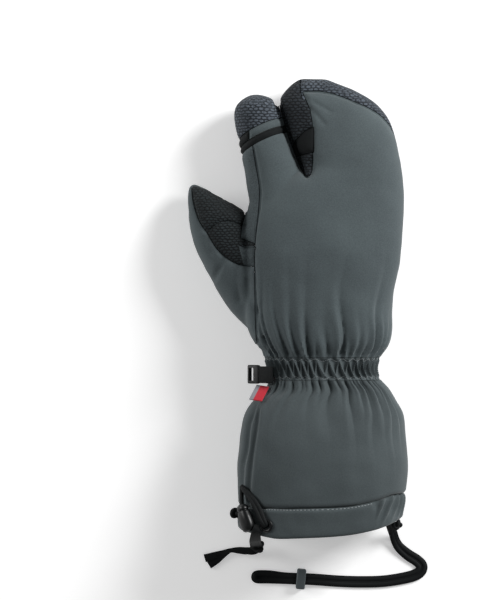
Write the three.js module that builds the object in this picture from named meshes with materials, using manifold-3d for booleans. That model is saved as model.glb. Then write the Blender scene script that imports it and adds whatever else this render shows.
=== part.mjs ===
// Convertible mitten for the right hand, lying palm down, in millimetres.
// +X points away from the thumb, +Y towards the fingertips and +Z up.
// The origin is on the surface that it lies on, under the middle of the gathered wrist.
//
// The hand is a hollow padded shell. Lofts of the hand, the index finger and the thumb
// are joined, hollowed by the same lofts taken in by the wall, and then cut along the
// seams into the sewn panels. The cuff is made of ring walls, and the hardware of plain solids.
import * as THREE from 'three';
import { mergeVertices } from 'three/addons/utils/BufferGeometryUtils.js';
import Module from 'manifold-3d';

const wasm = await Module();
wasm.setup();

// Walls and seams
const SEAM_GAP = 0.3;
const HAND_WALL = 5.5;
const WRIST_WALL = 3.4;
const CUFF_WALL = 2.6;
const TOP_ROUNDNESS = 2.3;
const PALM_ROUNDNESS = 3.0;
const SIDE_SEAM_Z = 25;
const ABOVE_ALL = 100;
const BELOW_ALL = -10;

// The gathered wrist runs from BAND_LOW to BAND_HIGH
const BAND_HIGH = 8;
const BAND_LOW = -8;
const BAND_PLEATS = 24;
const SKIRT_PLEATS = 16;
const BAND_PLEAT_DEPTH = 1.3;
const SKIRT_PLEAT_DEPTH = 1.5;
const HEM_RUFFLES = 24;
const HEM_RUFFLE_DEPTH = 1.2;
const RUFFLE_FROM = 35;
const HAND_PLEAT_REACH = 34;
const CUFF_PLEAT_REACH = 46;

// Outline of the mitten by its distance from the wrist: sides, underside and top
const outlineSections = [
  { y: -117, left: -57.4, right: 58.2, under: -3, top: 74.5 },
  { y: -92, left: -58.2, right: 59.5, under: -3, top: 75.5 },
  { y: -65, left: -58.5, right: 61, under: -3, top: 75.5 },
  { y: -45, left: -57.4, right: 59, under: -3, top: 73 },
  { y: -32, left: -54, right: 57.2, under: -1.5, top: 70 },
  { y: -22, left: -46.8, right: 52, under: 1, top: 66.5 },
  { y: -15, left: -38.8, right: 47.2, under: 4, top: 63.5 },
  { y: -8, left: -36.2, right: 40.8, under: 7.5, top: 61 },
  { y: 0, left: -36.6, right: 38.4, under: 8.5, top: 60 },
  { y: 8, left: -39.5, right: 41, under: 7.5, top: 61 },
  { y: 16, left: -45.5, right: 47, under: 4.5, top: 63.5 },
  { y: 26, left: -50.5, right: 49.6, under: 0.5, top: 64.5 },
  { y: 38, left: -53.5, right: 49.4, under: -2, top: 64 },
  { y: 55, left: -54.5, right: 51, under: -3, top: 62.5 },
  { y: 78, left: -54, right: 54.5, under: -3, top: 60.5 },
  { y: 100, left: -53, right: 57.4, under: -3, top: 58 },
  { y: 116, left: -50.5, right: 58.4, under: -3, top: 55.5 },
  { y: 126, left: -44, right: 58.6, under: -3, top: 53.5 },
  { y: 134, left: -29, right: 58.2, under: -3, top: 52 },
  { y: 141, left: -17.5, right: 57.6, under: -3, top: 50.5 },
  { y: 152, left: -20.5, right: 55.8, under: -3, top: 48.5 },
  { y: 163, left: -25, right: 53.4, under: -3, top: 46 },
  { y: 174, left: -28.5, right: 49.6, under: -3, top: 43 },
  { y: 183, left: -30.5, right: 44.4, under: -2, top: 39.5 },
  { y: 190, left: -29.2, right: 37.2, under: 0, top: 36 },
  { y: 196, left: -25.4, right: 26.5, under: 3.5, top: 31.5 },
  { y: 201, left: -20, right: 14.5, under: 7.5, top: 27 },
  { y: 204.8, left: -14, right: 5, under: 12.5, top: 21.5 },
];

// Centre line of the index finger and of the thumb, with half their width and depth there.
// turn is the angle from +X, in degrees, at which the width lies.
const indexSections = [
  { x: -24, y: 98, z: 27, across: 18, deep: 21, turn: 13 },
  { x: -29.6, y: 120, z: 26.5, across: 20.4, deep: 22, turn: 12 },
  { x: -34.4, y: 142, z: 24.5, across: 19.4, deep: 21, turn: 13 },
  { x: -39, y: 156, z: 23, across: 18.2, deep: 20, turn: 14 },
  { x: -42.4, y: 169.6, z: 22, across: 16.9, deep: 19, turn: 12 },
  { x: -44.8, y: 180, z: 21, across: 16.4, deep: 17.6, turn: 6 },
  { x: -45.2, y: 186.6, z: 20, across: 14.8, deep: 15.2, turn: 5 },
  { x: -45.5, y: 191, z: 19, across: 10.4, deep: 11, turn: 4 },
  { x: -45.3, y: 193.9, z: 18, across: 4, deep: 5, turn: 0 },
];
const thumbSections = [
  { x: -14, y: 30, z: 24, across: 23, deep: 20, turn: 53 },
  { x: -30, y: 42, z: 23, across: 24.5, deep: 21.5, turn: 48 },
  { x: -44, y: 55, z: 22, across: 24.3, deep: 22, turn: 41 },
  { x: -57.2, y: 73, z: 21, across: 23, deep: 21.5, turn: 32 },
  { x: -67.6, y: 91, z: 20, across: 22, deep: 20.5, turn: 22 },
  { x: -72.2, y: 105, z: 19, across: 21.2, deep: 18.8, turn: 11 },
  { x: -78, y: 113.9, z: 18, across: 16.6, deep: 15.6, turn: 6 },
  { x: -83.8, y: 121.6, z: 17, across: 11.2, deep: 11.4, turn: 3 },
  { x: -88.3, y: 127.6, z: 16, across: 6, deep: 6.8, turn: 2 },
  { x: -90, y: 130.9, z: 15.5, across: 2, deep: 2.4, turn: 0 },
];

// How far towards the wrist the hem's seam and its free edge lie, across the mitten
const hemLines = [
  { x: -62, seam: -96.6, edge: -112.6 },
  { x: -20, seam: -96.2, edge: -116.2 },
  { x: 15, seam: -95, edge: -114.8 },
  { x: 36, seam: -91.6, edge: -111.6 },
  { x: 50, seam: -88, edge: -107.6 },
  { x: 64, seam: -87.6, edge: -103 },
];

// Seam lines, as seen from above
const backPanelLine = [
  [-43.5, 0], [-45.6, 22], [-46.4, 40], [-46.6, 71.6], [-46.3, 87.8], [-44.9, 100.6],
  [-43.5, 116.8], [-43.6, 129], [-46.6, 147.2], [-50.5, 172], [-25.8, 172], [-23, 163],
  [-18.8, 152], [-15.4, 143.5], [-12.4, 136.6], [-10.2, 134.6], [-7.8, 136.4], [-6, 172],
  [-7.6, 182.4], [-10, 188.4], [-12.6, 195.4], [-0.8, 195.6], [10.1, 193.2], [20.9, 189],
  [34.5, 183.2], [44.2, 176.8], [51.5, 168.4], [62, 158], [80, 150], [80, 0],
];
const slotPanelLine = [
  [-17.6, 149.9], [-5.4, 152], [-5.4, 169.8], [-11.6, 166.9], [-15.4, 163.1], [-19.6, 157.3],
];
const sideStripLine = [
  [-40, 88], [-46.3, 87.8], [-56.5, 92], [-55.5, 101], [-53.5, 109], [-56, 118], [-70, 125],
  [-70, 190], [-40, 190],
];
const hoodLine = [
  [-15.6, 145], [-12, 133], [-6, 128], [12, 116], [34, 99], [52, 88], [80, 82], [80, 230],
  [-60, 230], [-60, 208], [-34, 202], [-30.8, 190], [-27.6, 178], [-24.1, 166.6], [-19.7, 155.5],
];
const thumbPanelTopLine = [
  [-46.6, 71.4], [-56.9, 72.3], [-65, 76], [-73.4, 83.5], [-80.6, 95], [-86.5, 104],
  [-90.6, 116.6], [-92, 128.9], [-93, 150], [-130, 150], [-130, 0], [-30, 0], [-40, 60],
];
const thumbPanelPalmLine = [
  [-34, 49], [-42, 60], [-53, 79], [-58.5, 88], [-64, 99], [-69, 110],
  [-74, 121], [-79, 130], [-83, 150], [-130, 150], [-130, 0], [-26, 0], [-27, 34],
];
const thumbGripTopLine = [
  [-30, 87.5], [-30, 60], [-100, 60], [-110, 150], [-60, 150], [-48, 120],
];
const thumbGripPalmLine = [
  [-18, 40], [-49, 89], [-53, 113], [-60, 150], [-110, 150], [-110, 60], [-60, 30], [-20, 30],
];
const webPatchLine = [
  [-17.4, 42], [-12.5, 46], [-9, 56], [-8.9, 66], [-12.5, 80], [-21, 92.6], [-31, 100],
  [-44, 105], [-52, 104], [-48.4, 90],
];
const HEEL_SEAM_Y = 26;
const THUMB_SPLIT_Z = 17;

// The band round the index finger lies in a plane that leans; FINGER_AXIS is its normal
const BAND_CENTRE = new THREE.Vector3(-41, 161.4, 24);
const FINGER_AXIS = new THREE.Vector3(-0.427, 0.897, -0.117).normalize();
const BAND_WIDTH = 4.4;
const BAND_RISE = 0.9;
const STRIP_WIDTH = 5.6;
const STRIP_LEFT = -51.2;

const materials = {
  softshell: new THREE.MeshStandardMaterial({ color: 0x555d5f, roughness: 0.9, metalness: 0 }),
  grip: new THREE.MeshStandardMaterial({ color: 0x2f3640, roughness: 0.8, metalness: 0 }),
  stretch: new THREE.MeshStandardMaterial({ color: 0x15181a, roughness: 0.85, metalness: 0 }),
  webbing: new THREE.MeshStandardMaterial({ color: 0x141819, roughness: 0.8, metalness: 0 }),
  plastic: new THREE.MeshStandardMaterial({ color: 0x111314, roughness: 0.35, metalness: 0 }),
  slider: new THREE.MeshStandardMaterial({ color: 0x3a4244, roughness: 0.6, metalness: 0 }),
  label: new THREE.MeshStandardMaterial({ color: 0x8e2530, roughness: 0.8, metalness: 0 }),
};

// Value of one column of a table at a place along another, smoothly between its rows
function along(table, key, at, column) {
  const last = table.length - 1;
  let i = 0;
  while (i < last - 1 && table[i + 1][key] < at) i += 1;
  const slope = (k) => {
    const a = table[Math.max(k - 1, 0)];
    const b = table[Math.min(k + 1, last)];
    return (b[column] - a[column]) / (b[key] - a[key]);
  };
  const [p, q] = [table[i], table[i + 1]];
  const span = q[key] - p[key];
  const t = Math.min(Math.max((at - p[key]) / span, 0), 1);
  const [t2, t3] = [t * t, t * t * t];
  return (2 * t3 - 3 * t2 + 1) * p[column] + (t3 - 2 * t2 + t) * span * slope(i)
    + (3 * t2 - 2 * t3) * q[column] + (t3 - t2) * span * slope(i + 1);
}

const ramp = (from, to, value) => THREE.MathUtils.smoothstep(value, from, to);
const signedPower = (value, power) => Math.sign(value) * Math.abs(value) ** power;

// Depth of the gathers round the wrist at a distance from it, and their wave round the mitten
function pleat(y, angle) {
  if (y <= BAND_HIGH && y >= BAND_LOW) return BAND_PLEAT_DEPTH * Math.cos(BAND_PLEATS * angle);
  const reach = y > 0 ? HAND_PLEAT_REACH : CUFF_PLEAT_REACH;
  const fade = 1 - Math.min((Math.abs(y) - BAND_HIGH) / reach, 1);
  return SKIRT_PLEAT_DEPTH * fade * Math.sin(SKIRT_PLEATS * angle);
}

// Point of the mitten's outline at a distance from the wrist and an angle round it
function outlinePoint(y, angle, inset) {
  const left = along(outlineSections, 'y', y, 'left') + inset;
  const right = along(outlineSections, 'y', y, 'right') - inset;
  const under = along(outlineSections, 'y', y, 'under') + inset;
  const top = along(outlineSections, 'y', y, 'top') - inset;
  const [c, s] = [Math.cos(angle), Math.sin(angle)];
  const roundness = s > 0 ? TOP_ROUNDNESS : PALM_ROUNDNESS;
  const gather = inset > 0 ? 0 : pleat(y, angle);
  const x = (left + right) / 2 + ((right - left) / 2 + gather) * signedPower(c, 2 / roundness);
  const z = (under + top) / 2 + ((top - under) / 2 + gather) * signedPower(s, 2 / roundness);
  return new THREE.Vector3(x, y, Math.max(z, inset));
}

const hemLine = (x, column) => along(hemLines, 'x', x, column);

function cleaned(geometry) {
  geometry.deleteAttribute('normal');
  geometry.deleteAttribute('uv');
  return mergeVertices(geometry, 1e-4);
}

function solidOf(geometry) {
  const closed = cleaned(geometry);
  const solid = new wasm.Manifold(new wasm.Mesh({
    numProp: 3,
    vertProperties: new Float32Array(closed.attributes.position.array),
    triVerts: new Uint32Array(closed.index.array),
  }));
  if (solid.status() !== 'NoError') throw new Error(`open geometry: ${solid.status()}`);
  return solid;
}

function geometryOf(solid) {
  const { vertProperties, triVerts } = solid.getMesh();
  const geometry = new THREE.BufferGeometry();
  geometry.setAttribute('position', new THREE.BufferAttribute(vertProperties, 3));
  geometry.setIndex(new THREE.BufferAttribute(triVerts, 1));
  geometry.computeVertexNormals();
  return geometry;
}

// A closed loft: a cylinder whose rings are moved to place(level, angle), and cap centres inwards
function loft(segments, levels, place) {
  const geometry = new THREE.CylinderGeometry(1, 1, 1, segments, levels.length - 1);
  const points = geometry.attributes.position;
  const point = new THREE.Vector3();
  for (let i = 0; i < points.count; i += 1) {
    point.fromBufferAttribute(points, i);
    const level = levels[Math.round((point.y + 0.5) * (levels.length - 1))];
    const angle = Math.atan2(point.z, point.x);
    if (Math.hypot(point.x, point.z) > 0.5) {
      point.copy(place(level, angle));
    } else {
      point.copy(place(level, 0)).lerp(place(level, Math.PI), 0.5);
    }
    points.setXYZ(i, point.x, point.y, point.z);
  }
  return solidOf(geometry);
}

// A tube wall closed on itself: the outside from the first level to the last, and the inside back
function ringWall(segments, outside, inside, place) {
  const stations = [
    ...inside.map((level) => ({ level, outer: false })),
    ...[...outside].reverse().map((level) => ({ level, outer: true })),
  ];
  stations.push(stations[0]);
  const profile = stations.map((_, i) => new THREE.Vector2(1, i));
  const geometry = new THREE.LatheGeometry(profile, segments);
  const points = geometry.attributes.position;
  for (let i = 0; i < points.count; i += 1) {
    const { level, outer } = stations[i % stations.length];
    const turn = Math.floor(i / stations.length) % segments;
    const p = place(level, Math.PI / 2 - (turn / segments) * Math.PI * 2, outer);
    points.setXYZ(i, p.x, p.y, p.z);
  }
  return solidOf(geometry);
}

// A prism over a line of points seen from above, grown outwards all round
function prism(line, low, high, grow = 0, lowLine = line) {
  const area = THREE.ShapeUtils.area(line.map(([x, y]) => new THREE.Vector2(x, y)));
  const grown = (points) => points.map(([x, y], i) => {
    const [ax, ay] = points[(i + points.length - 1) % points.length];
    const [bx, by] = points[(i + 1) % points.length];
    const before = new THREE.Vector2(y - ay, ax - x).normalize();
    const after = new THREE.Vector2(by - y, x - bx).normalize();
    const out = before.add(after).normalize().multiplyScalar(Math.sign(area) * grow);
    return new THREE.Vector2(x + out.x, y + out.y);
  });
  const topPoints = grown(line);
  const lowPoints = grown(lowLine);
  const geometry = new THREE.ExtrudeGeometry(new THREE.Shape(topPoints), {
    depth: high - low + 2 * grow,
    bevelEnabled: false,
  });
  geometry.translate(0, 0, low - grow);
  const points = geometry.attributes.position;
  for (let i = 0; i < points.count; i += 1) {
    if (points.getZ(i) < (low + high) / 2) {
      const [x, y] = [points.getX(i), points.getY(i)];
      const corner = topPoints.findIndex((p) => Math.hypot(p.x - x, p.y - y) < 1e-3);
      points.setXY(i, lowPoints[corner].x, lowPoints[corner].y);
    }
  }
  return solidOf(geometry);
}

// A block on the far side of a plane across the index finger
function beyondPlane(distance, reach = 120) {
  const geometry = new THREE.BoxGeometry(reach, reach, reach);
  geometry.translate(0, 0, reach / 2);
  const turn = new THREE.Quaternion().setFromUnitVectors(new THREE.Vector3(0, 0, 1), FINGER_AXIS);
  geometry.applyQuaternion(turn);
  geometry.translate(...BAND_CENTRE.clone().addScaledVector(FINGER_AXIS, distance).toArray());
  return solidOf(geometry);
}

const largest = (solid) => solid.decompose().sort((a, b) => b.volume() - a.volume())[0];

// Loft of a finger along its centre line, taken in or let out by an inset
function fingerLoft(sections, inset, segments, rows) {
  const table = sections.map((s, i) => ({ ...s, row: i }));
  return loft(segments, rows, (row, angle) => {
    const at = (column) => along(table, 'row', row, column);
    const turn = THREE.MathUtils.degToRad(at('turn'));
    const reach = (at('across') - inset) * Math.cos(angle);
    const z = at('z') + (at('deep') - inset) * Math.sin(angle);
    return new THREE.Vector3(
      at('x') + reach * Math.cos(turn),
      at('y') + reach * Math.sin(turn),
      Math.max(z, inset, 0),
    );
  });
}

// The hand: joined lofts, hollowed
const HAND_LOW = BAND_HIGH + SEAM_GAP;
const handLevels = [
  HAND_LOW, 16, 26, 42, 70, 98, 116, 127, 135, 142, 156, 171, 183, 192, 199, 204.8,
];
const bodyOuter = loft(48, handLevels, (y, angle) => outlinePoint(y, angle, 0));
const bodyInner = loft(24, [0, 20, 45, 85, 116, 128, 139, 163, 185, 198], (y, angle) => (
  outlinePoint(y, angle, HAND_WALL)));
const indexOuter = fingerLoft(indexSections, 0, 20, [0, 1, 2, 3, 4, 5, 6, 7, 8]);
const indexInner = fingerLoft(indexSections, HAND_WALL, 14, [0, 1, 2, 4, 5, 6, 6.8]);
const thumbOuter = fingerLoft(thumbSections, 0, 20, [0, 1, 2, 3, 4, 5, 6, 7, 8, 9]);
const thumbInner = fingerLoft(thumbSections, HAND_WALL, 14, [0.3, 1, 2, 3, 4, 5, 6, 6.8]);
const handCavity = bodyInner.add(indexInner).add(thumbInner);
const hand = bodyOuter.add(indexOuter).add(thumbOuter).subtract(handCavity);

// The index finger beyond its band
const fingerBeyond = prism(
  [[-80, 142], [-80, 215], [-30, 215], [-30.6, 190], [-27.3, 178], [-23.8, 166.6], [-19.4, 155.5]],
  BELOW_ALL, ABOVE_ALL);
const fingerTip = hand.intersect(fingerBeyond);
const bandSlab = (grow) => beyondPlane(-BAND_WIDTH / 2 - grow)
  .subtract(beyondPlane(BAND_WIDTH / 2 + grow));
const stripSlab = (grow) => beyondPlane(BAND_WIDTH / 2 + SEAM_GAP - grow)
  .subtract(beyondPlane(BAND_WIDTH / 2 + SEAM_GAP + STRIP_WIDTH + grow));
const leftOfStrip = (grow) => prism(
  [[-90, 140], [STRIP_LEFT, 140], [STRIP_LEFT, 200], [-90, 200]], 8, ABOVE_ALL, grow);
const onTop = (grow) => prism(
  [[STRIP_LEFT, 140], [-10, 140], [-10, 200], [STRIP_LEFT, 200]], SIDE_SEAM_Z, ABOVE_ALL, grow);
const pieces = {};
const bandLoft = (rise) => fingerLoft(indexSections, -rise, 20, [2, 3, 4, 5]);
pieces.finger_band = bandLoft(BAND_RISE).subtract(handCavity).intersect(bandSlab(0));
pieces.finger_gusset = fingerTip.intersect(stripSlab(0)).intersect(leftOfStrip(-SEAM_GAP / 2));
pieces.finger_strip = fingerTip.intersect(stripSlab(0)).intersect(onTop(-SEAM_GAP / 2));
pieces.finger_cap = fingerTip.intersect(beyondPlane(BAND_WIDTH / 2 + SEAM_GAP))
  .subtract(stripSlab(SEAM_GAP).intersect(leftOfStrip(SEAM_GAP / 2).add(onTop(SEAM_GAP / 2))));

// The rest is carved in turn: a panel takes its region, and the seam gap goes with it
let rest = hand.subtract(fingerBeyond.intersect(beyondPlane(-BAND_WIDTH / 2 - SEAM_GAP)))
  .subtract(bandLoft(BAND_RISE + SEAM_GAP).intersect(bandSlab(SEAM_GAP)));
function carve(name, region) {
  pieces[name] = rest.intersect(region(0));
  rest = rest.subtract(region(SEAM_GAP));
}
carve('slot_panel', (grow) => prism(slotPanelLine, 12, ABOVE_ALL, grow));
carve('back_panel', (grow) => prism(backPanelLine, SIDE_SEAM_Z, ABOVE_ALL, grow));
carve('mitten_hood', (grow) => prism(hoodLine, BELOW_ALL, ABOVE_ALL, grow));
carve('palm_heel', (grow) => prism(
  [[-29, 0], [-27, HEEL_SEAM_Y], [80, HEEL_SEAM_Y], [80, 0]], BELOW_ALL, SIDE_SEAM_Z - SEAM_GAP, grow));
carve('side_strip', (grow) => prism(sideStripLine, 13, ABOVE_ALL, grow));
carve('thumb_panel', (grow) => prism(
  thumbPanelTopLine, 2, 34, grow, thumbPanelPalmLine)
  .add(prism(thumbPanelTopLine, 34, ABOVE_ALL, grow))
  .add(prism(thumbPanelPalmLine, BELOW_ALL, 2, grow)));
carve('thumb_grip', (grow) => prism(thumbGripTopLine, THUMB_SPLIT_Z, ABOVE_ALL, grow)
  .add(prism(thumbGripPalmLine, BELOW_ALL, THUMB_SPLIT_Z, grow)));
carve('web_patch', (grow) => prism(webPatchLine, BELOW_ALL, 16, grow));
pieces.palm_panel = rest;


// The cuff: ring walls whose levels run from 0 at the wrist end to 1 at the free end
const CUFF_SEGMENTS = 48;
function cuffPlace(start, finish, wall) {
  return (level, angle, outer) => {
    const inset = outer ? 0 : wall;
    const middle = outlinePoint((start(0) + finish(0)) / 2, angle, inset);
    const y = start(middle.x) + (finish(middle.x) - start(middle.x)) * level;
    return outlinePoint(y, angle, inset);
  };
}
const flat = (y) => () => y;
const hemSeam = (x) => hemLine(x, 'seam');
pieces.wrist_band = ringWall(CUFF_SEGMENTS, [0, 0.5, 1], [0, 1],
  cuffPlace(flat(BAND_HIGH), flat(BAND_LOW), WRIST_WALL));
pieces.gauntlet = ringWall(CUFF_SEGMENTS, [0, 0.1, 0.22, 0.4, 0.7, 1], [0, 0.3, 1],
  cuffPlace(flat(BAND_LOW - SEAM_GAP), (x) => hemSeam(x) + SEAM_GAP, CUFF_WALL));
const hemPlain = cuffPlace(hemSeam, (x) => hemLine(x, 'edge'), CUFF_WALL + 0.6);
const hemWhole = ringWall(2 * CUFF_SEGMENTS, [0, 0.5, 1], [0, 1], (level, angle, outer) => {
  const p = hemPlain(level, angle, outer);
  const ruffle = ramp(RUFFLE_FROM, RUFFLE_FROM + 9, p.x) * ramp(0.5, 8, p.z) * (outer ? 1 : 0);
  p.x += HEM_RUFFLE_DEPTH * ruffle * Math.sin(HEM_RUFFLES * angle) * Math.cos(angle);
  p.z += HEM_RUFFLE_DEPTH * ruffle * Math.sin(HEM_RUFFLES * angle) * Math.sin(angle);
  return p;
});

// A place above the top of the outline, square to it, with the turn that lays a piece there
function topHeight(x, y) {
  const left = along(outlineSections, 'y', y, 'left');
  const right = along(outlineSections, 'y', y, 'right');
  const under = along(outlineSections, 'y', y, 'under');
  const top = along(outlineSections, 'y', y, 'top');
  const u = (x - (left + right) / 2) / ((right - left) / 2);
  const v = (1 - Math.abs(u) ** TOP_ROUNDNESS) ** (1 / TOP_ROUNDNESS);
  return (under + top) / 2 + ((top - under) / 2) * v;
}
function overTop(x, y, lift) {
  const slopeX = topHeight(x + 0.5, y) - topHeight(x - 0.5, y);
  const slopeY = topHeight(x, y + 0.5) - topHeight(x, y - 0.5);
  const out = new THREE.Vector3(-slopeX, -slopeY, 1).normalize();
  const place = new THREE.Vector3(x, y, topHeight(x, y)).addScaledVector(out, lift);
  const turn = new THREE.Quaternion().setFromUnitVectors(new THREE.Vector3(0, 0, 1), out);
  return { place, turn };
}
function laid(geometry, { place, turn }, spin = 0) {
  geometry.rotateZ(spin);
  geometry.applyQuaternion(turn);
  geometry.translate(place.x, place.y, place.z);
  return solidOf(geometry);
}

// Grommet in the hem, and the lock, loop and knot of the shock cord that draws the cuff in
const grommetSpot = { x: -38.4, y: -108.2 };
const GROMMET_RADIUS = 3.7;
const GROMMET_ROUND = 1.1;
const grommetHole = new THREE.CylinderGeometry(2.4, 2.4, 16, 20);
grommetHole.rotateX(Math.PI / 2);
pieces.hem = hemWhole.subtract(laid(grommetHole, overTop(grommetSpot.x, grommetSpot.y, 0)));
pieces.grommet = laid(new THREE.TorusGeometry(GROMMET_RADIUS, GROMMET_ROUND, 6, 18),
  overTop(grommetSpot.x, grommetSpot.y, GROMMET_ROUND + SEAM_GAP));

const LOCK_SPIN = 0.42;
const lockBody = new THREE.CapsuleGeometry(5, 10.5, 4, 14);
lockBody.scale(1, 1, 0.8);
pieces.cord_lock_body = laid(lockBody, overTop(-48.2, -100.5, 5.2), LOCK_SPIN);
pieces.cord_lock_knot = solidOf(new THREE.SphereGeometry(2.9, 8, 6).translate(-59.35, -98.6, 49));

// Tab of webbing with its plastic frame, and the folded label under it
const tabSpot = { place: new THREE.Vector3(-39, -4.4, 48), turn: new THREE.Quaternion() };
tabSpot.turn.setFromAxisAngle(new THREE.Vector3(0, 1, 0), -0.62);
pieces.tab_webbing = laid(new THREE.BoxGeometry(11, 11.9, 2.4), tabSpot);
const frameSpot = { place: new THREE.Vector3(-47.46, -4.2, 41.96), turn: tabSpot.turn };
const frameSlot = new THREE.BoxGeometry(3.2, 8.6, 12);
frameSlot.translate(0.4, 0, 0);
pieces.tab_frame = laid(new THREE.BoxGeometry(9.2, 13, 4), frameSpot)
  .subtract(laid(frameSlot, frameSpot));
const labelSpot = { place: new THREE.Vector3(-43.8, -17.2, 49.3), turn: new THREE.Quaternion() };
const labelOut = new THREE.Vector3(-0.3, 1.1, 1).normalize();
labelSpot.turn.setFromUnitVectors(new THREE.Vector3(0, 0, 1), labelOut);
pieces.side_label = laid(new THREE.BoxGeometry(9.4, 14, 1.2), labelSpot, -0.3);

// Cords: tubes along hand-placed points, laid on the ground where they leave the mitten
function cord(points, radius, steps, closed = false) {
  const ring = new THREE.Shape();
  ring.absarc(0, 0, radius, 0, Math.PI * 2, false);
  const line = new THREE.CatmullRomCurve3(points.map((p) => new THREE.Vector3(...p)), closed);
  const profile = new THREE.Shape(ring.getPoints(8).slice(0, 8));
  return solidOf(new THREE.ExtrudeGeometry(profile, { steps, extrudePath: line }));
}
const LOOP_RADIUS = 1.3;
const shockPoints = [
  [-50.4, -88.5, 3.4], [-46.5, -93.5, 3.2], [-42.2, -100.6, 3], [-39.4, -105.8, 4.4],
].map(([x, y, lift]) => overTop(x, y, lift).place.toArray());
pieces.shock_cord = cord(shockPoints, LOOP_RADIUS, 8);

const TAPE_RADIUS = 1.7;
const tapePoints = [
  [-47.2, -111.5, 67.5], [-47.8, -118, 63.5], [-47.6, -120.6, 53], [-46.8, -121.8, 36],
  [-46, -122.8, 19], [-45, -124.5, 8.5], [-45.8, -129.2, 3.6], [-49.6, -132.6, 2.1],
  [-57, -132.2, 2.1], [-64, -131, 2.1], [-71.6, -133.6, 2.1], [-83.8, -136.3, 2.1],
];
pieces.pull_tape = cord(tapePoints, TAPE_RADIUS, 22);
pieces.pull_tape_knot = solidOf(new THREE.SphereGeometry(3.2, 8, 6).translate(-40.2, -125.6, 6.2));

// Centre line of the two legs of the leash, out of the cuff and to its slider
const leashCentre = [
  [46.7, -90, 17.4], [47.6, -99, 16.9], [48.9, -108, 16.5], [50.8, -114.2, 10.6], [52.8, -119.6, 5],
  [54.6, -125, 2.4], [57.6, -130, 2.1], [63.8, -135.4, 2.1], [70, -139.4, 2.1], [73.6, -143.6, 2.1],
  [71.4, -148.4, 2.1], [63, -151.6, 2.1], [46.5, -154.3, 2.1], [29.9, -154.8, 2.1],
  [13.4, -154.3, 2.1], [-0.3, -153.2, 2.6], [-8, -152.6, 3.2], [-13.4, -152.4, 3.2],
  [-19, -152.2, 3.2],
];
const LEASH_RADIUS = 1.8;
const LEG_OFFSET = 2.2;
const leashLoop = [
  [-27, -149.2, 2.1], [-34, -147.9, 2.1], [-40.6, -147.3, 2.1], [-44.8, -148.2, 2.1],
  [-46.6, -150.9, 2.1], [-44.8, -153.6, 2.1], [-40.6, -154.4, 2.1], [-34, -154.4, 2.1],
  [-27, -154.6, 2.1],
];
function leg(side) {
  const line = new THREE.CatmullRomCurve3(leashCentre.map((p) => new THREE.Vector3(...p)));
  return Array.from({ length: 40 }, (_, i) => {
    const p = line.getPoint(i / 39);
    const ahead = line.getTangent(i / 39);
    const flatAhead = new THREE.Vector2(ahead.x, ahead.y).normalize();
    return [p.x + side * LEG_OFFSET * flatAhead.y, p.y - side * LEG_OFFSET * flatAhead.x, p.z];
  });
}
pieces.leash = cord([...leg(1), ...leashLoop, ...leg(-1).reverse()],
  LEASH_RADIUS, 62);
pieces.leash_knot = solidOf(new THREE.SphereGeometry(2.4, 8, 6).translate(56.4, -108.3, 15));
const sliderHole = new THREE.BoxGeometry(20, 10.6, 4.8).translate(-13.4, -152.4, 3.2);
const sliderBlock = new THREE.BoxGeometry(6.8, 14.8, 6.8).translate(-13.4, -152.4, 3.4);
pieces.leash_slider = solidOf(sliderBlock).subtract(solidOf(sliderHole));

const slots = {
  finger_band: 'stretch',
  finger_gusset: 'stretch',
  finger_strip: 'softshell',
  finger_cap: 'grip',
  slot_panel: 'stretch',
  back_panel: 'softshell',
  mitten_hood: 'grip',
  palm_heel: 'softshell',
  side_strip: 'grip',
  thumb_panel: 'softshell',
  thumb_grip: 'grip',
  web_patch: 'grip',
  palm_panel: 'grip',
  wrist_band: 'softshell',
  gauntlet: 'softshell',
  hem: 'softshell',
  grommet: 'plastic',
  cord_lock_body: 'plastic',
  cord_lock_knot: 'webbing',
  shock_cord: 'webbing',
  tab_webbing: 'webbing',
  tab_frame: 'plastic',
  side_label: 'label',
  pull_tape: 'webbing',
  pull_tape_knot: 'webbing',
  leash: 'webbing',
  leash_knot: 'webbing',
  leash_slider: 'slider',
};
const onCords = ['pull_tape', 'pull_tape_knot', 'leash', 'leash_knot', 'leash_slider'];

// The whole is moved so that its origin is under the middle of the mitten, cords left out
const root = new THREE.Group();
root.name = 'convertible_mitten';
const box = new THREE.Box3();
for (const [name, slot] of Object.entries(slots)) {
  const mesh = new THREE.Mesh(geometryOf(largest(pieces[name])), materials[slot]);
  mesh.name = name;
  root.add(mesh);
  if (!onCords.includes(name)) box.expandByObject(mesh);
}
const middle = box.getCenter(new THREE.Vector3());
for (const mesh of root.children) mesh.geometry.translate(-middle.x, -middle.y, 0);

export default root;
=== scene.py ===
import math

import bmesh
import bpy
import numpy as np
from mathutils import Matrix, Quaternion, Vector, noise
from mathutils.bvhtree import BVHTree
from mathutils.kdtree import KDTree


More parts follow.
